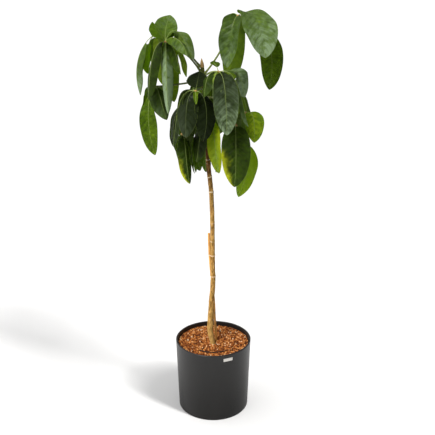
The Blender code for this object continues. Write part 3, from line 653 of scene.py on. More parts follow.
def heading(degrees):
    """The level unit vector at an azimuth, counted from +X towards +Y."""
    return Vector((math.cos(math.radians(degrees)), math.sin(math.radians(degrees)), 0.0))


def right_of(degrees):
    """The level unit vector on the right of someone who looks along an azimuth."""
    return Vector((math.sin(math.radians(degrees)), -math.cos(math.radians(degrees)), 0.0))


def bezier(a, b, c, d, t):
    u = 1.0 - t
    return a * u**3 + b * (3 * u * u * t) + c * (3 * u * t * t) + d * t**3


def blade_share(t):
    """Half-width of a leaflet along its blade as a share of the widest: oblong, with a point."""
    oblong = np.maximum(1.0 - np.abs(2.0 * t**WIDEST - 1.0) ** FULLNESS, 0.0)
    return oblong ** (BASE_ROUND + TIP_TAPER * t)


def bell(distance, width):
    """1 at no distance, and less the further off, with almost nothing left past twice the width."""
    return np.exp(-((distance / width) ** 2))


def eased(value, low, high):
    t = np.clip((value - low) / (high - low), 0.0, 1.0)
    return t * t * (3 - 2 * t)


class Leaflet:
    """One leaflet: a midrib that leaves the hub and hangs, and two folded and waved halves."""

    def __init__(self, hub, row, index):
        tip, (azimuth, rise, run), face, width, fold, stalk = row
        self.width = width * MM
        self.fold = math.radians(fold)
        self.phase = WAVE_STEP * index
        reach = Vector(tip) * MM
        length = max(reach.length, min(LENGTH_OF_WIDTH * self.width, LONGEST_ARCH))
        leave = heading(azimuth) * math.cos(math.radians(rise))
        leave.z = math.sin(math.radians(rise))
        near = hub + leave * run * MM
        drift = hub + reach - near
        hang = Vector((drift.x, drift.y, 0.0)).normalized() * HANG_OUT
        hang.z = -1.0 if reach.z < 0 else HANG_UP
        far = hub + reach - hang.normalized() * TIP_PULL * length
        self.line = (hub, near, far, hub + reach)
        self.stalk_end = min(stalk * MM / (ARC * length), LONGEST_STALK)
        self.sides = (right_of(azimuth), right_of(face))

    def frames(self, places):
        """Points of the midrib, and its right and upward directions there, as arrays."""
        found = []
        for t in places:
            point = bezier(*self.line, t)
            ahead = bezier(*self.line, min(t + TANGENT_STEP, 1.0))
            along = (ahead - bezier(*self.line, max(t - TANGENT_STEP, 0.0))).normalized()
            ease = t * t * (3 - 2 * t)
            right = self.sides[0].lerp(self.sides[1], min(FACE_EASE * ease, 1.0))
            right = (right - along * right.dot(along)).normalized()
            found.append((point, right, right.cross(along)))
        return np.array(found).transpose(1, 0, 2)

    def blade(self, shell, rows, tone, yellow, bloom):
        """The two halves as a closed thin shell, with sunken veins and a margin that curls down."""
        share = np.linspace(0.0, 1.0, rows)
        point, right, up = self.frames(self.stalk_end + (1 - self.stalk_end) * share)
        length = np.linalg.norm(np.diff(point, axis=0), axis=1).sum()
        half = np.maximum(0.5 * self.width * blade_share(share), TIP_HALF)[:, None]
        side = np.abs(COLUMNS)
        along = share[:, None]
        belly = np.sin(math.pi * along)
        slant = VEIN_SLANT * self.width / length
        veins = max(LEAST_VEINS, round(length / VEIN_PITCH)) * (along - slant * side**VEIN_BEND)
        veins = veins + np.where(COLUMNS < 0, 0.5, 0.0)
        ripple = np.sin(math.tau * WAVES[0] * along + self.phase)
        counter = np.sin(math.tau * WAVES[1] * along + self.phase + WAVE_LAG)
        wave = WAVE * self.width * belly * np.where(COLUMNS > 0, ripple, counter)
        quilt = eased(side, *QUILT_START) * (1 - side**5) * belly**0.4
        quilt = quilt * (0.5 + 0.5 * np.cos(math.tau * veins)) ** QUILT_SHARPNESS
        lift = math.sin(self.fold) * half * side**FOLD_BEND + wave * side**WAVE_BEND
        lift = lift - MARGIN_CURL * half * side**3 - QUILTING * quilt
        lift = lift - GROOVE[0] * bell(side * half, GROOVE[1]) * belly**0.3
        spread = math.cos(self.fold) * half * COLUMNS
        middle = point[:, None] + right[:, None] * spread[..., None] + up[:, None] * lift[..., None]
        thick = up[:, None] * BLADE_HALF
        ring = np.concatenate(((middle - thick)[:, ::-1], middle + thick), axis=1)
        margin = np.where(COLUMNS > 0, yellow[0], yellow[1]) * side**YELLOW_BEND
        margin = margin * eased(along, yellow[2], yellow[2] + YELLOW_RISE)
        shell.grid(
            ring,
            across=both(COLUMNS),
            veins=both(veins),
            yellow=both(margin),
            upper=np.repeat((0.0, 1.0), len(COLUMNS)),
            tone=tone,
            along=along,
            bloom=bloom,
        )

    def rib(self, shell, steps, tone):
        """The leaflet's own stalk, which runs on as the midrib and thins out to the tip."""
        places = np.linspace(0.0, 1.0, steps)
        point, _, up = self.frames(places)
        start = self.stalk_end
        radii = np.interp(places, (0, RIB_SECOND[0] * start, start, 1), RIB_RADII) * MM
        on_blade = eased(places, ON_BLADE[0] * start, ON_BLADE[1] * start)
        path = point - up * (RIB_SINK * radii * on_blade)[:, None]
        stalk_tone = np.interp(places, (0, RIB_SECOND[1] * start, start, 1), RIB_TONES)
        age = on_blade * (1 - eased(tone, *RIB_DULLING_TONES))
        tube(shell, path, radii, RIB_SIDES, 1, tone=stalk_tone[:, None], age=age[:, None])


def both(values):
    """Values for the lower face from right to left, then for the upper face from left to right."""
    return np.concatenate((values[..., ::-1], values), axis=-1)


def ring_of_leaflets(count, first, reach, drop):
    """Leaflet rows in an even ring round the hub. Every second one hangs a little further out."""
    rows = []
    for k in range(count):
        azimuth = first + 360 * k / count
        out = reach * (1 + (FAR_STEP if k % 2 else -FAR_STEP))
        tip = heading(azimuth) * out
        tip.z = -drop * (1 - (FAR_STEP if k % 2 else 0.0))
        width = FAR_SPREAD * 2 * reach * math.sin(math.pi / count)
        rows.append((tip, (azimuth, FAR_RISE, FAR_RUN), azimuth, width, FAR_FOLD, FAR_STALK))
    return rows


def all_leaves():
    far = [(*leaf[:4], ring_of_leaflets(*leaf[4:])) for leaf in FAR_LEAVES]
    return [*LEAVES, *far]


def stem_at(height):
    """The stem's middle and radius at a height."""
    x, y, z, radius = np.array(STEM).T * MM
    middle = Vector((np.interp(height, z, x), np.interp(height, z, y), height))
    return middle, float(np.interp(height, z, radius))


def cane_at(height):
    """The cane's middle at a height."""
    x, y, z = np.array(CANE).T * MM
    return Vector((np.interp(height, z, x), np.interp(height, z, y), height))


def leaf_stalk(shell, hub, foot, arch):
    """The leaf's stalk, with a swollen foot on the stem, and the knob that its leaflets leave."""
    middle, radius = stem_at(foot)
    level = Vector((hub.x - middle.x, hub.y - middle.y, 0.0)).normalized()
    start = middle + level * (radius + STALK_CLEAR)
    span = hub - start
    near = start + span / 3 + Vector((0, 0, arch))
    far = start + span * 2 / 3 + Vector((0, 0, arch))
    places = np.linspace(0.0, 1.0, STALK_STEPS)
    sunk = start - level * STALK_SUNK * radius
    path = [sunk] + [bezier(start, near, far, hub, t) for t in places]
    reach = np.concatenate(((0.0,), places * span.length))
    foot_swell = (STALK_FOOT_RADIUS - STALK_RADIUS) * bell(reach, STALK_FOOT_LENGTH)
    hub_swell = HUB_SWELL[0] * bell(span.length - reach, HUB_SWELL[1])
    tone = np.interp(reach / span.length, *STALK_TONES)
    radii = STALK_RADIUS + foot_swell + hub_swell
    tube(shell, path, radii, STALK_SIDES, 1, tone=tone[:, None])
    knob = np.linspace(0.0, math.pi, HUB_RINGS)
    heights = hub.z - HUB_FLATNESS * HUB_RADIUS * np.cos(knob)
    radii = np.maximum(HUB_RADIUS * np.sin(knob), HUB_POLE)
    path = np.column_stack((np.full(HUB_RINGS, hub.x), np.full(HUB_RINGS, hub.y), heights))
    tube(shell, path, radii, STALK_SIDES, 1, tone=HUB_TONE)


def leaf_material(foliage):
    """Waxy upper face with painted sheen, painted light and painted shade in its green, duller and
    paler under side, pale veins, and light that shines through.
    """
    t = material_tree("leaf")
    tone, across, veins, along = t.point_values("tone", "across", "veins", "along")
    yellow, upper, bloom = t.point_values("yellow", "upper", "bloom")
    here = t.place()
    cloud = t.noise(here, 35 * MM, 2.0) - 0.5
    grain = t.noise(here, 10 * MM, 4.0)
    mottle = grain - 0.5
    sheen_patch = t.smooth(t.noise(here, 26 * MM), 0.36, 0.62)
    net = t.smooth(t.cells(here, 3.2 * MM), 0.0, 0.12)
    side = abs(across)
    beat = t.beat(veins)
    vein = t.smooth(beat, 0.80, 1.0) * (1 - side * 0.75)
    # Lightness of the green: the leaflet's tone, which holds painted light and shade, random clouds
    # and mottles, and painted light and shade that make each blade lighter towards its tip and
    # darker towards its foot
    light = tone + cloud * 0.50 + mottle * 0.55 + (along - 0.5) * 0.12
    # painted shade: the green darkens along each side vein, as in the shade of its furrow
    green = t.ramp(
        light - t.smooth(beat, 0.55, 1.0) * 0.06,
        (0.0, foliage.deep),
        (0.35, foliage.mature),
        (0.65, foliage.mid),
        (1.0, foliage.young),
    )
    # Painted sheen: pale patches between the side veins, strongest towards the tip, that stand for
    # reflected light
    between = t.smooth(t.beat(veins + cloud * 0.6), 1.25, 0.6)
    stripes = t.smooth(t.beat(veins * 3 + cloud + 0.5), 1.0, 0.3)
    painted_sheen_mask = (0.30 + sheen_patch * 0.70) * (0.09 + along * along * 1.50) * between * (0.65 + stripes * 0.35)
    edge = t.smooth(yellow + cloud * 0.7 + mottle * 0.5, 0.16, 0.88) * t.smooth(yellow, 0.02, 0.2)
    green = t.coated(
        green,
        (vein * (0.06 + tone * 0.28), foliage.vein),
        ((1 - net) * (0.03 + tone * 0.09), foliage.vein),
        # painted sheen on the upper face
        (bloom * painted_sheen_mask * upper, foliage.bloom),
        (edge * (1 - vein * 0.5), foliage.margin),
        (t.smooth(side, 0.965, 1.0) * 0.35, foliage.vein),
        (t.smooth(along, 0.985, 1.0) * 0.4, foliage.dry),
        ((1 - upper) * 0.5, foliage.under),
    )
    relief = vein * (1 - upper * 2) * 0.8 + net * 0.22 + grain * 0.45
    skin = t.principled(
        Base_Color=green,
        Roughness=foliage.roughness + 0.20 - upper * 0.20 + mottle * 0.18,
        Normal=t.bump(relief + t.noise(here, 18 * MM, 1.0) * 2.6, 1.2 * MM),
        Specular_IOR_Level=0.05,
        Coat_Weight=foliage.wax * (1 + bloom * 4),
        Coat_Roughness=0.22,
    )
    glow = t.add("ShaderNodeBsdfTranslucent", None, {"Color": foliage.glow})
    through = 0.10 + tone * 0.42
    return t.finish(t.add("ShaderNodeMixShader", None, {0: through, 1: skin, 2: glow}))


def stalk_material(foliage):
    """Leaf stalks and midribs: brownish green, pale on the midribs, dull on those of old leaflets
    and of leaflets painted into shade, orange at the hub.
    """
    t = material_tree("stalk")
    tone, age = t.point_values("tone", "age")
    streak = t.noise(t.place(), 4 * MM)
    colour = t.ramp(
        tone + (streak - 0.5) * 0.10,
        (0.0, foliage.stalk),
        (0.35, foliage.stalklet),
        (0.6, foliage.vein),
        (1.0, foliage.hub),
    )
    colour = t.mix(age * 0.85, colour, foliage.aged_and_shaded_rib)
    rough = 0.42 + streak * 0.2
    return t.finish_skin(Base_Color=colour, Roughness=rough, Normal=t.bump(streak, 0.3 * MM))


def bark_material(bark):
    """Tan bark with green-grey mottles below, red-brown near the crown, cream scars, green tip."""
    t = material_tree("bark")
    scar, bud = t.point_values("scar", "bud")
    here = t.place()
    height = t.height(here)
    long = t.place(1.0, 1.0, 0.55)
    streak = t.noise(t.place(1.0, 1.0, 0.16), 4 * MM, 5.0)
    patch = t.noise(long, 13 * MM, 4.0)
    shadow = t.noise(t.place(1.0, 1.0, 0.35), 8 * MM)
    pore = t.smooth(t.cells(long, 5.5 * MM, "F1"), 0.30, 0.12)
    dark = t.smooth(height + (patch - 0.5) * 0.16, *RED_BARK)
    tan = t.coated(
        t.ramp(streak, (0.34, bark.groove), (0.46, bark.tan), (0.66, bark.pale)),
        (t.smooth(patch, 0.50, 0.62) * 0.65, bark.mottle),
        (t.smooth(shadow, 0.55, 0.65) * 0.60, bark.groove),
        (t.smooth(height, *PALE_BARK) * 0.50, bark.pale),
    )
    red = t.ramp(streak, (0.36, bark.black), (0.55, bark.red), (0.74, bark.tan))
    colour = t.coated(
        t.mix(dark, tan, red),
        (pore * (0.55 - dark * 0.25), bark.pale),
        (t.smooth(height, *GREEN_BARK) * 0.8, bark.shoot),
        (t.smooth(scar + (streak - 0.5) * 0.5, 0.3, 0.62), bark.scar),
        (bud, bark.bud),
    )
    relief = streak * 0.8 + pore * 0.5 + t.noise(here, 1.2 * MM, 2.0) * 0.2
    return t.finish_skin(
        Base_Color=colour,
        Roughness=0.85 - bud * 0.3,
        Specular_IOR_Level=0.15,
        Normal=t.bump(relief, 2.2 * MM),
    )


def cane_material(bark):
    """Split bamboo: golden brown with long streaks, a darker line at each knuckle."""
    t = material_tree("cane")
    (knuckle,) = t.point_values("knuckle")
    streak = t.noise(t.place(1.0, 1.0, 0.04), 1.6 * MM, 4.0)
    stain = t.noise(t.place(1.0, 1.0, 0.3), 30 * MM)
    colour = t.coated(
        t.ramp(streak, (0.3, bark.cane_dark), (0.5, bark.cane), (0.75, bark.cane_light)),
        (t.smooth(stain, 0.5, 0.72) * 0.6, bark.cane_dark),
        (knuckle * 0.7, bark.groove),
    )
    rough = 0.55 + streak * 0.15
    return t.finish_skin(Base_Color=colour, Roughness=rough, Normal=t.bump(streak, 0.5 * MM))


def tie_material(bark):
    t = material_tree("tie")
    weave = t.noise(t.place(1.0, 1.0, 3.0), 1.1 * MM)
    colour = t.mix(weave, bark.tie_shade, bark.tie)
    rough = 0.6 + weave * 0.1
    return t.finish_skin(Base_Color=colour, Roughness=rough, Normal=t.bump(weave, 0.2 * MM))


def clay_material(clay):
    """Expanded clay: each grain its own baked tint and a porous skin, with painted shade in the
    gaps, in the pits and under the grains.
    """
    t = material_tree("clay")
    # shade is each grain's own tint; depth carries the painted shade
    shade, depth = t.point_values("shade", "depth")
    here = t.place()
    skin = t.noise(here, 2.6 * MM, 4.0)
    # painted shade in the pores: the pits are darkened
    pits = t.smooth(t.cells(here, 1.1 * MM, "F1"), 0.42, 0.20)
    colour = t.ramp(
        shade + (skin - 0.5) * 0.30,
        (0.0, clay.burnt),
        (0.30, clay.red),
        (0.62, clay.orange),
        (0.90, clay.sand),
        (1.0, clay.dust),
    )
    # painted shade: points deep among the grains, under each grain, on the lower layer and on the
    # bed are painted towards the dark gap colour
    painted_shade = t.smooth(depth, 0.0, 0.75) * 0.95
    return t.finish_skin(
        Base_Color=t.coated(colour, (pits * 0.45, clay.burnt), (painted_shade, clay.gap)),
        Roughness=0.78 + skin * 0.15,
        Specular_IOR_Level=0.15,
        Normal=t.bump(skin - pits * 0.6, 0.7 * MM),
    )


def planter_material(pot):
    """Matte anthracite shell: fine grain, faint cloudy wear, a touch lighter on the rubbed lip."""
    t = material_tree("anthracite")
    here = t.place()
    height = t.height(here)
    grain = t.noise(here, 0.9 * MM)
    cloud = t.noise(t.place(1.0, 1.0, 0.4), 90 * MM, 4.0)
    lip = t.smooth(height, PLANTER_HEIGHT - 3 * MM, PLANTER_HEIGHT)
    foot = t.smooth(height, 9 * MM, 0.0)
    colour = t.coated(
        t.mix(t.smooth(cloud, 0.35, 0.75) * 0.5, pot.wall, pot.worn),
        (t.smooth(grain, 0.60, 0.74) * 0.22, pot.speck),
        ((lip + foot) * 0.35, pot.worn),
    )
    return t.finish_skin(
        Base_Color=colour,
        Roughness=pot.roughness + (cloud - 0.5) * 0.10 + (grain - 0.5) * 0.12,
        Specular_IOR_Level=0.12,
        Coat_Weight=pot.sheen * (0.35 + t.smooth(height, 0.0, PLANTER_HEIGHT) * 0.65),
        Coat_Roughness=0.32,
        Normal=t.bump(grain, 0.22 * MM),
    )


def steel_material(pot):
    """Bare plate with a brushed finish that runs along it."""
    t = material_tree("brushed_steel")
    brush = t.noise(t.place(0.05, 0.05, 1.0), 0.35 * MM)
    return t.finish_skin(
        Base_Color=t.mix(brush, pot.steel_shade, pot.steel),
        Metallic=1.0,
        Roughness=0.30 + brush * 0.18 + t.noise(t.place(), 12 * MM, 2.0) * 0.08,
        Normal=t.bump(brush, 0.08 * MM),
    )


def grow_pot_material():
    """Black plastic with clay dust on it."""
    t = material_tree("grow_pot_plastic")
    dust = t.smooth(t.noise(t.place(), 12 * MM, 4.0), 0.45, 0.75)
    colour = t.mix(dust * 0.5, POT_PLASTIC, POT_DUST)
    rough = 0.40 + dust * 0.3
    return t.finish_skin(Base_Color=colour, Roughness=rough, Normal=t.bump(dust, 0.3 * MM))


def root_material():
    """Pale roots in brown clods."""
    t = material_tree("root_plug")
    fibre = t.noise(t.place(1.0, 1.0, 0.3), 3 * MM, 6.0)
    relief = fibre + t.cells(t.place(), 8 * MM, "F1")
    colour = t.ramp(fibre, *ROOT_TINTS)
    return t.finish_skin(Base_Color=colour, Roughness=0.9, Normal=t.bump(relief, 2 * MM))


def colour_property(name, description, default):
    return FloatVectorProperty(
        name=name,
        description=description,
        subtype="COLOR",
        size=3,
        min=0.0,
        max=1.0,
        default=default,
    )


def number_property(name, description, default, **settings):
    """A number from 0 up. Settings may give its unit, its subtype or its highest value."""
    return FloatProperty(name=name, description=description, min=0.0, default=default, **settings)


def length_property(name, description, default):
    return number_property(name, description, default, unit="LENGTH")


def share_property(name, description, default, top=1.0):
    return number_property(name, description, default, subtype="FACTOR", max=top)


def angle_property(name, description, degrees):
    return number_property(name, description, math.radians(degrees), subtype="ANGLE")


def count_property(name, description, default, least):
    return IntProperty(name=name, description=description, min=least, default=default)


class FoliageSettings(bpy.types.PropertyGroup):
    """Colours and fineness of the leaves"""

    # Deep green is also the painted shade of leaflets that lie in the crown's shade
    deep: colour_property("Deep green", "Upper face of the oldest leaflets", (0.006, 0.011, 0.0015))
    mature: colour_property("Mature green", "Upper face of grown leaflets", (0.030, 0.060, 0.003))
    mid: colour_property("Mid green", "Upper face of younger leaflets", (0.100, 0.172, 0.005))
    # Young green is also the painted light on lit leaflets whose tones run past 1
    young: colour_property(
        "Young green", "Upper face of the youngest leaflets", (0.370, 0.470, 0.014)
    )
    under: colour_property("Under side", "Paler tint of the under side", (0.110, 0.165, 0.035))
    vein: colour_property("Vein", "Midribs and side veins", (0.230, 0.310, 0.060))
    # The colour of the painted sheen, which stands for reflected light
    bloom: colour_property("Bloom", "Waxy bloom between the side veins", (0.270, 0.370, 0.205))
    margin: colour_property(
        "Yellow margin", "Where a margin has lost its green", (0.450, 0.490, 0.016)
    )
    dry: colour_property("Dry tip", "The very tip of a leaflet", (0.160, 0.100, 0.030))
    glow: colour_property(
        "Light shone through", "Tint of light that passes a blade", (0.420, 0.620, 0.030)
    )
    stalk: colour_property(
        "Leaf stalk", "The long stalk between stem and hub", (0.170, 0.200, 0.045)
    )
    stalklet: colour_property("Stalklet", "The short stalk of one leaflet", (0.180, 0.230, 0.045))
    # Dull midrib colour of old leaflets, and painted shade on the midribs of leaflets painted dark
    aged_and_shaded_rib: colour_property("Old midrib", "Midribs of the oldest leaflets", (0.050, 0.072, 0.012))
    hub: colour_property("Hub", "The knob where the leaflets meet", (0.420, 0.200, 0.050))
    roughness: share_property("Roughness", "Roughness of the upper face", 0.36)
    wax: share_property("Wax", "Strength of the waxy coat", 0.03)
    blade_rows: count_property("Blade rows", "Rows of points along a blade", 80, 8)
    rib_steps: count_property("Rib steps", "Rings along a midrib", 34, 8)


class BarkSettings(bpy.types.PropertyGroup):
    """Colours of the stem, the cane and the ties"""

    tan: colour_property("Tan", "Bark of the lower stem", (0.370, 0.190, 0.044))
    pale: colour_property("Pale", "Raised fibres and pores", (0.600, 0.370, 0.115))
    groove: colour_property("Groove", "Fine furrows of the bark", (0.062, 0.028, 0.006))
    mottle: colour_property("Mottle", "Green-grey blotches", (0.270, 0.160, 0.036))
    red: colour_property("Red-brown", "Bark just under the crown", (0.100, 0.034, 0.008))
    black: colour_property("Dark furrow", "Furrows just under the crown", (0.022, 0.010, 0.005))
    shoot: colour_property("Green shoot", "The green top of the stem", (0.110, 0.130, 0.035))
    scar: colour_property("Leaf scar", "Rims that old leaves left", (0.860, 0.700, 0.480))
    bud: colour_property("Bud", "The end bud", (0.520, 0.330, 0.140))
    cane: colour_property("Cane", "Sides of the cane", (0.740, 0.360, 0.075))
    cane_light: colour_property("Cane light", "Light fibres of the cane", (0.950, 0.560, 0.160))
    cane_dark: colour_property("Cane dark", "Dark fibres of the cane", (0.270, 0.105, 0.024))
    tie: colour_property("Tie", "The ties' outside", (0.880, 0.660, 0.430))
    tie_shade: colour_property("Tie shade", "The ties' weave", (0.520, 0.330, 0.165))


class ClaySettings(bpy.types.PropertyGroup):
    """Size, order and colours of the clay granules"""

    smallest: length_property("Smallest grain", "Radius of the smallest grains", 2.3 * MM)
    largest: length_property("Largest grain", "Radius of the largest grains", 4.3 * MM)
    seed: count_property("Seed", "Order of the random draws", 7, 0)
    burnt: colour_property("Burnt", "Darkest grains", (0.045, 0.013, 0.004))
    red: colour_property("Red", "Red-brown grains", (0.190, 0.052, 0.013))
    orange: colour_property("Orange", "Most of the grains", (0.410, 0.126, 0.024))
    sand: colour_property("Sand", "Lighter grains", (0.670, 0.305, 0.092))
    dust: colour_property("Dust", "The palest grains", (0.820, 0.620, 0.400))
    # The gap colour is painted shade, laid deep between the grains and on the bed under them
    gap: colour_property("Gap", "What lies deep between the grains", (0.016, 0.005, 0.002))


class PlanterSettings(bpy.types.PropertyGroup):
    """Finish of the planter and its plate"""

    wall: colour_property("Wall", "The planter's own colour", (0.0072, 0.0068, 0.0064))
    worn: colour_property("Worn", "Rubbed and clouded places", (0.0120, 0.0113, 0.0106))
    speck: colour_property("Speck", "Fine light grain of the shell", (0.045, 0.043, 0.041))
    steel: colour_property("Steel", "The plate's light brush lines", (0.760, 0.735, 0.690))
    steel_shade: colour_property(
        "Steel shade", "The plate's dark brush lines", (0.520, 0.500, 0.470)
    )
    roughness: share_property("Roughness", "Roughness of the planter", 0.50)
    sheen: share_property("Sheen", "Strength of the soft gloss, which fades towards the foot", 0.52)


class StudioSettings(bpy.types.PropertyGroup):
    """Camera, light and floor"""

    eye: FloatVectorProperty(
        name="Eye",
        description="Place of the camera",
        subtype="TRANSLATION",
        unit="LENGTH",
        default=(0.018, -2.505, 1.654),
    )
    dip: angle_property("Dip", "How far the camera looks down", 17.75)
    lens: number_property("Lens", "Focal length in millimetres", 53.8)
    key_strength: number_property("Key light", "Light on the tree", 3.8)
    key_size: angle_property("Key size", "Angle that the key light fills", 24)
    floor_strength: number_property("Floor light", "Light on the floor", 1.0)
    floor: colour_property("Floor", "The pale floor", (0.78, 0.78, 0.78))
    ahead: share_property("Room", "Light from all round", 0.05, 4.0)
    left: share_property("Left", "More light from the left", 1.60, 4.0)
    right: share_property("Right", "More light from the right", 0.05, 4.0)
    above: share_property("Above", "More light from above", 0.50, 4.0)
    behind: share_property("Behind", "More light from behind the tree", 0.14, 4.0)


class TreeSettings(bpy.types.PropertyGroup):
    """All that a user would change"""

    foliage: PointerProperty(type=FoliageSettings)
    bark: PointerProperty(type=BarkSettings)
    clay: PointerProperty(type=ClaySettings)
    planter: PointerProperty(type=PlanterSettings)
    studio: PointerProperty(type=StudioSettings)


class TREE_OT_leaves(bpy.types.Operator):
    """Make the compound leaves, one piece for each leaf"""

    bl_idname = "umbrella_tree.leaves"
    bl_label = "Leaves"

    def execute(self, context):
        foliage = context.scene.umbrella_tree.foliage
        materials = (leaf_material(foliage), stalk_material(foliage))
        for name, hub_mm, foot_mm, arch_mm, rows in all_leaves():
            hub = Vector(hub_mm) * MM
            shell = Shell("across", "along", "veins", "tone", "yellow", "upper", "bloom", "age")
            leaf_stalk(shell, hub, foot_mm * MM, arch_mm * MM)
            painted_sheens = PAINTED_SHEEN.get(name, {})
            for index, (row, tone) in enumerate(zip(rows, TONES_AND_PAINTED_LIGHT[name], strict=True)):
                leaflet = Leaflet(hub, row, index)
                yellow = YELLOW.get((name, index), (0, 0, 0))
                bloom = painted_sheens.get(index, LEAST_PAINTED_SHEEN)
                leaflet.blade(shell, foliage.blade_rows, tone, yellow, bloom)
                leaflet.rib(shell, foliage.rib_steps, tone)
            shell.made(name.replace("leaf", "foliage"), "leaf", materials, [name])
        return {"FINISHED"}


def rounded_path(rows, step):
    """Points of a table's line at even steps of height, with its corners rounded off."""
    x, y, z = np.array(rows).T[:3] * MM
    heights = np.append(np.arange(z[0], z[-1], step), z[-1])
    found = []
    for height in heights:
        room = min(BEND_ROOM, height - z[0], z[-1] - height)
        near = np.linspace(height - room, height + room, BEND_SAMPLES)
        found.append([np.interp(near, z, values).mean() for values in (x, y)])
    return np.column_stack((found, heights))


def ridges(ridge, angle, place):
    """A ridge's height at angles round a tube and at places along it."""
    height, count, turn_of_place = ridge
    return height * np.sin(count * angle + turn_of_place * place)


class TREE_OT_stem(bpy.types.Operator):
    """Make the woody stem with its leaf scars and its end bud"""

    bl_idname = "umbrella_tree.stem"
    bl_label = "Stem"

    def execute(self, context):
        path = rounded_path(STEM, STEM_STEP)
        radii = [stem_at(middle[2])[1] for middle in path]
        height = path[:, 2:]
        angle = turn(STEM_SIDES)[None, :]
        swell = 1 + sum(ridges(ridge, angle, height) for ridge in STEM_RIDGES)
        scar = np.zeros_like(swell)
        for k, (middle, strength) in enumerate(SCARS):
            front = np.cos(angle - math.radians(SCAR_FIRST + SCAR_TURN * k))
            ring = bell(height - middle * MM - SCAR_LEAN * front, SCAR_HALF)
            scar = np.maximum(scar, strength * ring * (1 - SCAR_FADE + SCAR_FADE * front))
            swell = swell + NODE_SWELL * bell(height - middle * MM, NODE_HALF)
        bud = eased(height, *BUD_EDGE)
        swell = swell * (1 + SCAR_LIP * scar + bud * ridges(BUD_SCALES, angle, height - BUD_FOOT))
        shell = Shell("scar", "bud")
        tube(shell, path, radii, STEM_SIDES, swell=swell, scar=scar, bud=bud)
        materials = [bark_material(context.scene.umbrella_tree.bark)]
        shell.made("stem_bark", "bark", materials, ["stem"], sharp_degrees=80)
        return {"FINISHED"}


class TREE_OT_cane(bpy.types.Operator):
    """Make the bamboo cane with its knuckles and its cut end"""

    bl_idname = "umbrella_tree.cane"
    bl_label = "Cane"

    def execute(self, context):
        path = rounded_path(CANE, CANE_STEP)
        length = path[-1, 2] - path[0, 2]
        share = (path[:, 2:] - path[0, 2]) / length
        knuckle = np.zeros_like(share)
        for place in CANE_JOINTS:
            knuckle = np.maximum(knuckle, bell((share - place) * length, KNUCKLE_HALF))
        end = np.minimum(share, 1 - share) * length
        radii = CANE_RADIUS * (CANE_WAIST + (1 - CANE_WAIST) * knuckle)
        radii = radii * (1 - CUT_ROUND[0] * bell(end, CUT_ROUND[1]))
        swell = 1 + ridges(CANE_FLUTES, turn(CANE_SIDES)[None, :], share)
        shell = Shell("knuckle")
        tube(shell, path, radii[:, 0], CANE_SIDES, swell=swell, knuckle=knuckle)
        materials = [cane_material(context.scene.umbrella_tree.bark)]
        shell.made("bamboo_cane", "cane", materials, ["cane"])
        return {"FINISHED"}


def belt(first, first_radius, second, second_radius, steps):
    """Points of the tight loop round two circles, evenly spaced by turning angle."""
    gap = second - first
    away = math.atan2(gap.y, gap.x)
    lean = math.acos((first_radius - second_radius) / gap.length)
    near = np.linspace(away + lean, away + math.tau - lean, steps)
    far = np.linspace(away - lean, away + lean, steps)
    loops = []
    for centre, radius, angle in ((first, first_radius, near), (second, second_radius, far)):
        loops.append((centre.x + radius * np.cos(angle), centre.y + radius * np.sin(angle)))
    return np.concatenate(loops, axis=1).T


class TREE_OT_ties(bpy.types.Operator):
    """Make the two soft ties that hold stem and cane together"""

    bl_idname = "umbrella_tree.ties"
    bl_label = "Ties"

    def execute(self, context):
        materials = [tie_material(context.scene.umbrella_tree.bark)]
        for name, height in TIE_HEIGHTS.items():
            stem_middle, stem_radius = stem_at(height)
            cane_middle = cane_at(height)
            rings = []
            for angle in turn(TIE_SIDES):
                out = 2 * GAP + TIE_THICKNESS * (0.5 + 0.5 * math.cos(angle))
                radii = (stem_radius + out, CANE_RADIUS + out)
                loop = belt(stem_middle, radii[0], cane_middle, radii[1], TIE_STEPS)
                rise = math.copysign(abs(math.sin(angle)) ** TIE_SQUARE, math.sin(angle))
                level = np.full(len(loop), height + 0.5 * TIE_BAND * rise)
                rings.append(np.column_stack((loop, level)))
            rings = np.array(rings).transpose(1, 0, 2)
            rings[..., 2] += TIE_SWAY * np.sin(turn(len(rings)))[:, None]
            shell = Shell()
            shell.grid(rings[:, ::-1], looped=True)
            shell.made(name + "_band", "tie", materials, [name])
        return {"FINISHED"}


def arc(centre, radius, start, end, steps=8):
    """Points of a part of a circle in a profile, angles in degrees from outwards to upwards."""
    angles = np.radians(np.linspace(start, end, steps))
    return [(centre[0] + radius * math.cos(a), centre[1] + radius * math.sin(a)) for a in angles]


def wall_radius(height):
    """The planter's outer radius at a height."""
    share = height / PLANTER_HEIGHT
    return PLANTER_FOOT_RADIUS + (PLANTER_RIM_RADIUS - PLANTER_FOOT_RADIUS) * share


class TREE_OT_planter(bpy.types.Operator):
    """Make the tapered planter with its rounded foot and lip"""

    bl_idname = "umbrella_tree.planter"
    bl_label = "Planter"

    def execute(self, context):
        edge, top, rim = PLANTER_EDGE, PLANTER_HEIGHT, PLANTER_RIM_RADIUS
        steps = np.linspace(2 * edge, top - 2 * edge, PLANTER_ROWS)
        profile = [(AXIS_HOLE, 0.0), (0.5 * PLANTER_FOOT_RADIUS, 0.0)]
        profile += arc((PLANTER_FOOT_RADIUS - edge, edge), edge, -90, 0)
        profile += [(wall_radius(z), z) for z in steps]
        profile += arc((rim - edge, top - edge), edge, 0, 90)
        profile += arc((rim - PLANTER_WALL + edge, top - edge), edge, 90, 180)
        profile += [(wall_radius(z) - PLANTER_WALL, z) for z in steps[::-1]]
        profile.append((wall_radius(0) - PLANTER_WALL - edge, PLANTER_FLOOR))
        profile.append((AXIS_HOLE, PLANTER_FLOOR))
        shell = Shell()
        turned(shell, profile, PLANTER_SIDES)
        materials = [planter_material(context.scene.umbrella_tree.planter)]
        shell.made("planter_shell", "planter", materials, ["planter"], sharp_degrees=40)
        return {"FINISHED"}


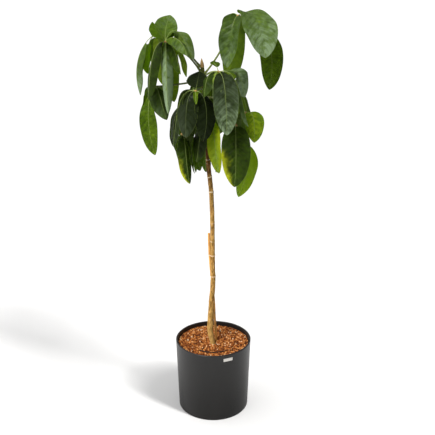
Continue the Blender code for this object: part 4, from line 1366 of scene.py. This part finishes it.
class TREE_OT_plate(bpy.types.Operator):
    """Make the blank steel plate, bent round the wall, with round corners"""

    bl_idname = "umbrella_tree.plate"
    bl_label = "Plate"

    def execute(self, context):
        across, up = 0.5 * PLATE_WIDTH - PLATE_CORNER, 0.5 * PLATE_HEIGHT - PLATE_CORNER
        outline = []
        for quarter, (x, y) in enumerate(((1, 1), (-1, 1), (-1, -1), (1, -1))):
            corner = (x * across, y * up)
            outline += arc(corner, PLATE_CORNER, 90 * quarter, 90 * quarter + 90, 7)
        inward = 1 - PLATE_BEVEL / (0.5 * PLATE_HEIGHT)
        layers = [(1.0, 0.0), (1.0, PLATE_THICKNESS - PLATE_BEVEL)]
        layers += [(inward * size, PLATE_THICKNESS) for size in PLATE_RINGS]
        rings = []
        for scale, depth in layers:
            x, y = np.array(outline).T * scale
            height = PLATE_MIDDLE + y
            radius = wall_radius(height) + GAP + depth
            azimuth = PLATE_AZIMUTH + x / wall_radius(PLATE_MIDDLE)
            rings.append((radius * np.cos(azimuth), radius * np.sin(azimuth), height))
        shell = Shell()
        shell.grid(np.array(rings).transpose(0, 2, 1))
        materials = [steel_material(context.scene.umbrella_tree.planter)]
        shell.made("blank_plate", "plate", materials, ["plate"], sharp_degrees=25)
        return {"FINISHED"}


class TREE_OT_hidden(bpy.types.Operator):
    """Finish the grow pot and the plug of roots, whose forms stay as they are"""

    bl_idname = "umbrella_tree.hidden"
    bl_label = "Grow pot and roots"

    def execute(self, context):
        for name, made in (("grow_pot", grow_pot_material()), ("root_ball", root_material())):
            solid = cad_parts[name]
            solid.data.materials.clear()
            solid.data.materials.append(made)
        return {"FINISHED"}


def grow_radius(height):
    """The grow pot's outer radius at a height."""
    share = (height - GROW_FOOT) / GROW_HEIGHT
    return GROW_FOOT_RADIUS + (GROW_RIM_RADIUS - GROW_FOOT_RADIUS) * share


def settle(rng, radii, draw):
    """Middles of grains, largest first, drawn until each lies clear of the others or gives up."""
    placed = np.empty((0, 2))
    sizes = np.empty(0)
    for radius in sorted(radii, reverse=True):
        for _ in range(TRIES):
            spot = draw(rng, radius)
            if spot is None:
                continue
            if (np.hypot(*(placed - spot).T) < CLOSENESS * (sizes + radius)).any():
                continue
            placed = np.vstack((placed, spot))
            sizes = np.append(sizes, radius)
            break
    return placed, sizes


def grain_form():
    """Points and triangles of a ball with 80 faces."""
    bm = bmesh.new()
    bmesh.ops.create_icosphere(bm, subdivisions=2, radius=1.0)
    points = np.array([vert.co for vert in bm.verts])
    triangles = np.array([[vert.index for vert in face.verts] for face in bm.faces])
    bm.free()
    return points, triangles


def turn_matrix(spin):
    """A rotation about each axis in turn, by the angles in spin."""
    total = np.eye(3)
    for axis, angle in enumerate(spin):
        one = np.eye(3)
        a, b = (axis + 1) % 3, (axis + 2) % 3
        one[a, a] = one[b, b] = math.cos(angle)
        one[a, b], one[b, a] = -math.sin(angle), math.sin(angle)
        total = total @ one
    return total


def lay_grains(shell, rng, spots, sizes, levels, painted_shade):
    """Lumpy grains at those places, each turned its own way. Painted shade is 0 for the upper layer
    and more for the lower one, and each grain is painted darker on its underside.
    """
    form, triangles = grain_form()
    (broad, wide), (fine, close) = GRAIN_LUMPS
    grains, shades = [], []
    for (x, y), size, level in zip(spots, sizes, levels):
        squash = np.array([rng.uniform(*GRAIN_SQUASH) for _ in range(3)])
        knobs = np.array([rng.uniform(-GRAIN_KNOBS, GRAIN_KNOBS) for _ in range(3)])
        lump = 1 + broad * np.sin(form @ knobs * wide + knobs[0])
        lump = lump + fine * np.sin(form @ knobs[::-1] * close)
        spin = Vector([rng.uniform(-3, 3) for _ in range(3)])
        lumpy = (form * squash * lump[:, None]) @ turn_matrix(spin)
        grains.append(lumpy * size + (x, y, level))
        shades.append(rng.betavariate(*GRAIN_TINTS))
    grains = np.array(grains)
    # painted shade: each grain darkens from its middle down, and the lower layer is darker all over
    underside_shade = eased(np.array(levels)[:, None] - grains[..., 2], *GRAIN_SHADE_FADE)
    depth = painted_shade + (1 - painted_shade) * GRAIN_UNDERSIDE_SHADE * underside_shade
    shell.scattered(grains, triangles, shade=np.array(shades)[:, None], depth=depth)


def in_bare_rim(x, y):
    return BARE_RIM[0] < math.degrees(math.atan2(y, x)) < BARE_RIM[1]


def drawn_between(rng, near, far):
    """A distance from the axis and a place there, drawn evenly over the ring between two radii."""
    out = math.sqrt(rng.uniform(near**2, far**2))
    angle = rng.uniform(-math.pi, math.pi)
    return out, (out * math.cos(angle), out * math.sin(angle))


def outer_spot(rng, radius):
    """A place between the planter's wall and the grow pot, or on its rim where that is covered."""
    room = WALL_ROOM * radius
    far = wall_radius(FILL_LEVEL) - PLANTER_WALL - room
    out, spot = drawn_between(rng, GROW_RIM_RADIUS - RIM_COVER, far)
    if out < GROW_RIM_RADIUS + BARE_GAP + room and in_bare_rim(*spot):
        return None
    return spot


def inner_spot(rng, radius):
    """A place within the grow pot, clear of the stem and the cane."""
    far = GROW_RIM_RADIUS - GROW_WALL - BARE_GAP - WALL_ROOM * radius
    out, spot = drawn_between(rng, 0, far)
    spot = Vector(spot)
    if out > GROW_RIM_RADIUS - RIM_COVER - RIM_ROOM * radius and not in_bare_rim(*spot):
        return None
    stem_middle, stem_radius = stem_at(FILL_LEVEL)
    for middle, keep in ((stem_middle, stem_radius), (cane_at(FILL_LEVEL), CANE_RADIUS)):
        if (spot - middle.xy).length < keep + STEM_ROOM * radius:
            return None
    return tuple(spot)


def surface_level(x, y):
    """Height of the upper layer of grains: heaped on the grow pot's rim, low where it is bare."""
    off = abs(math.hypot(x, y) - GROW_RIM_RADIUS + GROW_WALL / 2)
    rise, reach = RIM_HOLLOW if in_bare_rim(x, y) else RIM_HEAP
    return FILL_LEVEL + rise * (1 - min(off / reach, 1.0))


def bed_profiles():
    """Profiles of the beds that close the gaps among the grains, round and in the grow pot. The
    beds are painted dark, as painted shade.
    """
    bed = FILL_LEVEL - BED_DROP
    floor = PLANTER_FLOOR + GAP
    low = FILL_LEVEL - INNER_DEPTH + GAP
    beside = [
        (AXIS_HOLE, floor),
        (wall_radius(floor) - PLANTER_WALL - 1 * MM, floor),
        (wall_radius(FILL_LEVEL) - PLANTER_WALL - GAP, bed),
        (grow_radius(bed) + GAP, bed),
        (GROW_FOOT_RADIUS + GAP, GROW_FOOT - GAP),
        (AXIS_HOLE, GROW_FOOT - GAP),
    ]
    inside = [
        (AXIS_HOLE, low),
        (grow_radius(low) - GROW_WALL - GAP, low),
        (grow_radius(bed) - GROW_WALL - GAP, bed),
        (AXIS_HOLE, bed),
    ]
    return beside, inside


class TREE_OT_granules(bpy.types.Operator):
    """Make the clay granules round the grow pot and on the root ball, grain by grain"""

    bl_idname = "umbrella_tree.granules"
    bl_label = "Clay granules"

    def execute(self, context):
        clay = context.scene.umbrella_tree.clay
        rng = random.Random(clay.seed)
        materials = [clay_material(clay)]
        beside, inside = bed_profiles()
        beds = (
            ("clay_round_pot", "granules_outer", beside, outer_spot, OUTER_GRAINS),
            ("clay_in_pot", "granules_inner", inside, inner_spot, INNER_GRAINS),
        )
        span = clay.largest - clay.smallest
        for name, node, profile, draw, counts in beds:
            shell = Shell("shade", "depth")
            # the bed is painted all in the dark gap colour, as shade between the grains
            turned(shell, profile, BED_SIDES, shade=BED_SHADE, depth=1.0)
            for count, drop, painted_shade in zip(counts, (0.0, UNDER_DROP), (0.0, UNDER_SHADE)):
                radii = [rng.random() ** GRAIN_SMALLNESS for _ in range(count)]
                radii = [clay.smallest + span * share for share in radii]
                spots, sizes = settle(rng, radii, draw)
                levels = [surface_level(*spot) - drop for spot in spots]
                levels = [level + rng.uniform(-UNEVEN, UNEVEN) for level in levels]
                lay_grains(shell, rng, spots, sizes, levels, painted_shade)
            shell.made(name, "granules", materials, [node], sharp_degrees=180)
        return {"FINISHED"}


class TREE_OT_studio(bpy.types.Operator):
    """Set up the camera, the soft light and the pale floor"""

    bl_idname = "umbrella_tree.studio"
    bl_label = "Studio"

    def execute(self, context):
        studio = context.scene.umbrella_tree.studio
        scene = context.scene
        scene.view_settings.view_transform = "Standard"
        lens = bpy.data.cameras.new("camera")
        lens.lens = studio.lens
        camera = linked("camera", lens, scene)
        camera.location = studio.eye
        camera.rotation_euler = (math.pi / 2 - studio.dip, 0.0, 0.0)
        scene.camera = camera
        floor = self.floor(scene, studio)
        lights = [("key_light", studio.key_strength, studio.key_size, KEY_FROM, "EXCLUDE")]
        for name, share, degrees, way in FLOOR_LIGHTS:
            strength = studio.floor_strength * share
            lights.append((name, strength, math.radians(degrees), way, "INCLUDE"))
        for light in lights:
            self.soft_light(scene, floor, *light)
        self.room(scene, studio)
        return {"FINISHED"}

    def soft_light(self, scene, floor, name, strength, size, way, linking):
        """A distant light that the floor alone takes up if included, or all but it if excluded."""
        lamp = bpy.data.lights.new(name, "SUN")
        lamp.energy = strength
        lamp.angle = size
        lamp.color = LAMP_TINT
        light = linked(name, lamp, scene)
        light.rotation_euler = Vector(way).to_track_quat("Z", "Y").to_euler()
        lit = bpy.data.collections.new(name)
        lit.objects.link(floor)
        lit.collection_objects[0].light_linking.link_state = linking
        light.light_linking.receiver_collection = lit

    def floor(self, scene, studio):
        bm = bmesh.new()
        bmesh.ops.create_circle(bm, cap_ends=True, segments=FLOOR_SIDES, radius=FLOOR_RADIUS)
        mesh = bpy.data.meshes.new("studio_floor")
        bm.to_mesh(mesh)
        bm.free()
        paint = {"Base_Color": studio.floor, "Roughness": 1.0, "Specular_IOR_Level": 0.0}
        mesh.materials.append(material_tree("floor").finish_skin(**paint))
        floor = linked("studio_floor", mesh, scene)
        return floor

    def room(self, scene, studio):
        """Plain white to look at, and a softer room that lights the tree, mostly from the left."""
        world = bpy.data.worlds.new("room")
        scene.world = world
        t = Tree(world, "ShaderNodeOutputWorld")
        way = t.add("ShaderNodeTexCoord", output="Generated")
        x, y, z = (t.add("ShaderNodeSeparateXYZ", None, {"Vector": way}, axis) for axis in "XYZ")
        right, left, back, top = (t.maths("MAXIMUM", side, 0.0) for side in (x, 0 - x, y, z))
        light = studio.ahead + studio.left * left * left + studio.right * right * right
        light = light + studio.above * top + studio.behind * back
        lit = t.add("ShaderNodeBackground", None, {"Color": WHITE, "Strength": light})
        seen = t.add("ShaderNodeBackground", None, {"Color": WHITE, "Strength": SEEN_STRENGTH})
        looked_at = t.add("ShaderNodeLightPath", output="Is Camera Ray")
        t.finish(t.add("ShaderNodeMixShader", None, {0: looked_at, 1: lit, 2: seen}))


OPERATORS = (
    TREE_OT_studio,
    TREE_OT_planter,
    TREE_OT_plate,
    TREE_OT_hidden,
    TREE_OT_granules,
    TREE_OT_stem,
    TREE_OT_cane,
    TREE_OT_ties,
    TREE_OT_leaves,
)


class TREE_PT_panel(bpy.types.Panel):
    """Lists the operators in the order in which they are run"""

    bl_idname = "TREE_PT_panel"
    bl_label = "Potted umbrella tree"
    bl_space_type = "VIEW_3D"
    bl_region_type = "UI"
    bl_category = "Tree"

    def draw(self, context):
        for operator in OPERATORS:
            self.layout.operator(operator.bl_idname)
        for group in ("foliage", "bark", "clay", "planter", "studio"):
            settings = getattr(context.scene.umbrella_tree, group)
            box = self.layout.box()
            box.label(text=group.capitalize())
            for name in settings.bl_rna.properties.keys():
                if name not in ("rna_type", "name"):
                    box.prop(settings, name)


GROUPS = (FoliageSettings, BarkSettings, ClaySettings, PlanterSettings, StudioSettings)
CLASSES = (*GROUPS, TreeSettings, *OPERATORS, TREE_PT_panel)


def register():
    for kind in CLASSES:
        bpy.utils.register_class(kind)
    bpy.types.Scene.umbrella_tree = PointerProperty(type=TreeSettings)


def unregister():
    del bpy.types.Scene.umbrella_tree
    for kind in reversed(CLASSES):
        bpy.utils.unregister_class(kind)


def main():
    register()
    bpy.ops.umbrella_tree.studio()
    bpy.ops.umbrella_tree.planter()
    bpy.ops.umbrella_tree.plate()
    bpy.ops.umbrella_tree.hidden()
    bpy.ops.umbrella_tree.granules()
    bpy.ops.umbrella_tree.stem()
    bpy.ops.umbrella_tree.cane()
    bpy.ops.umbrella_tree.ties()
    bpy.ops.umbrella_tree.leaves()


if __name__ == "__main__":
    main()
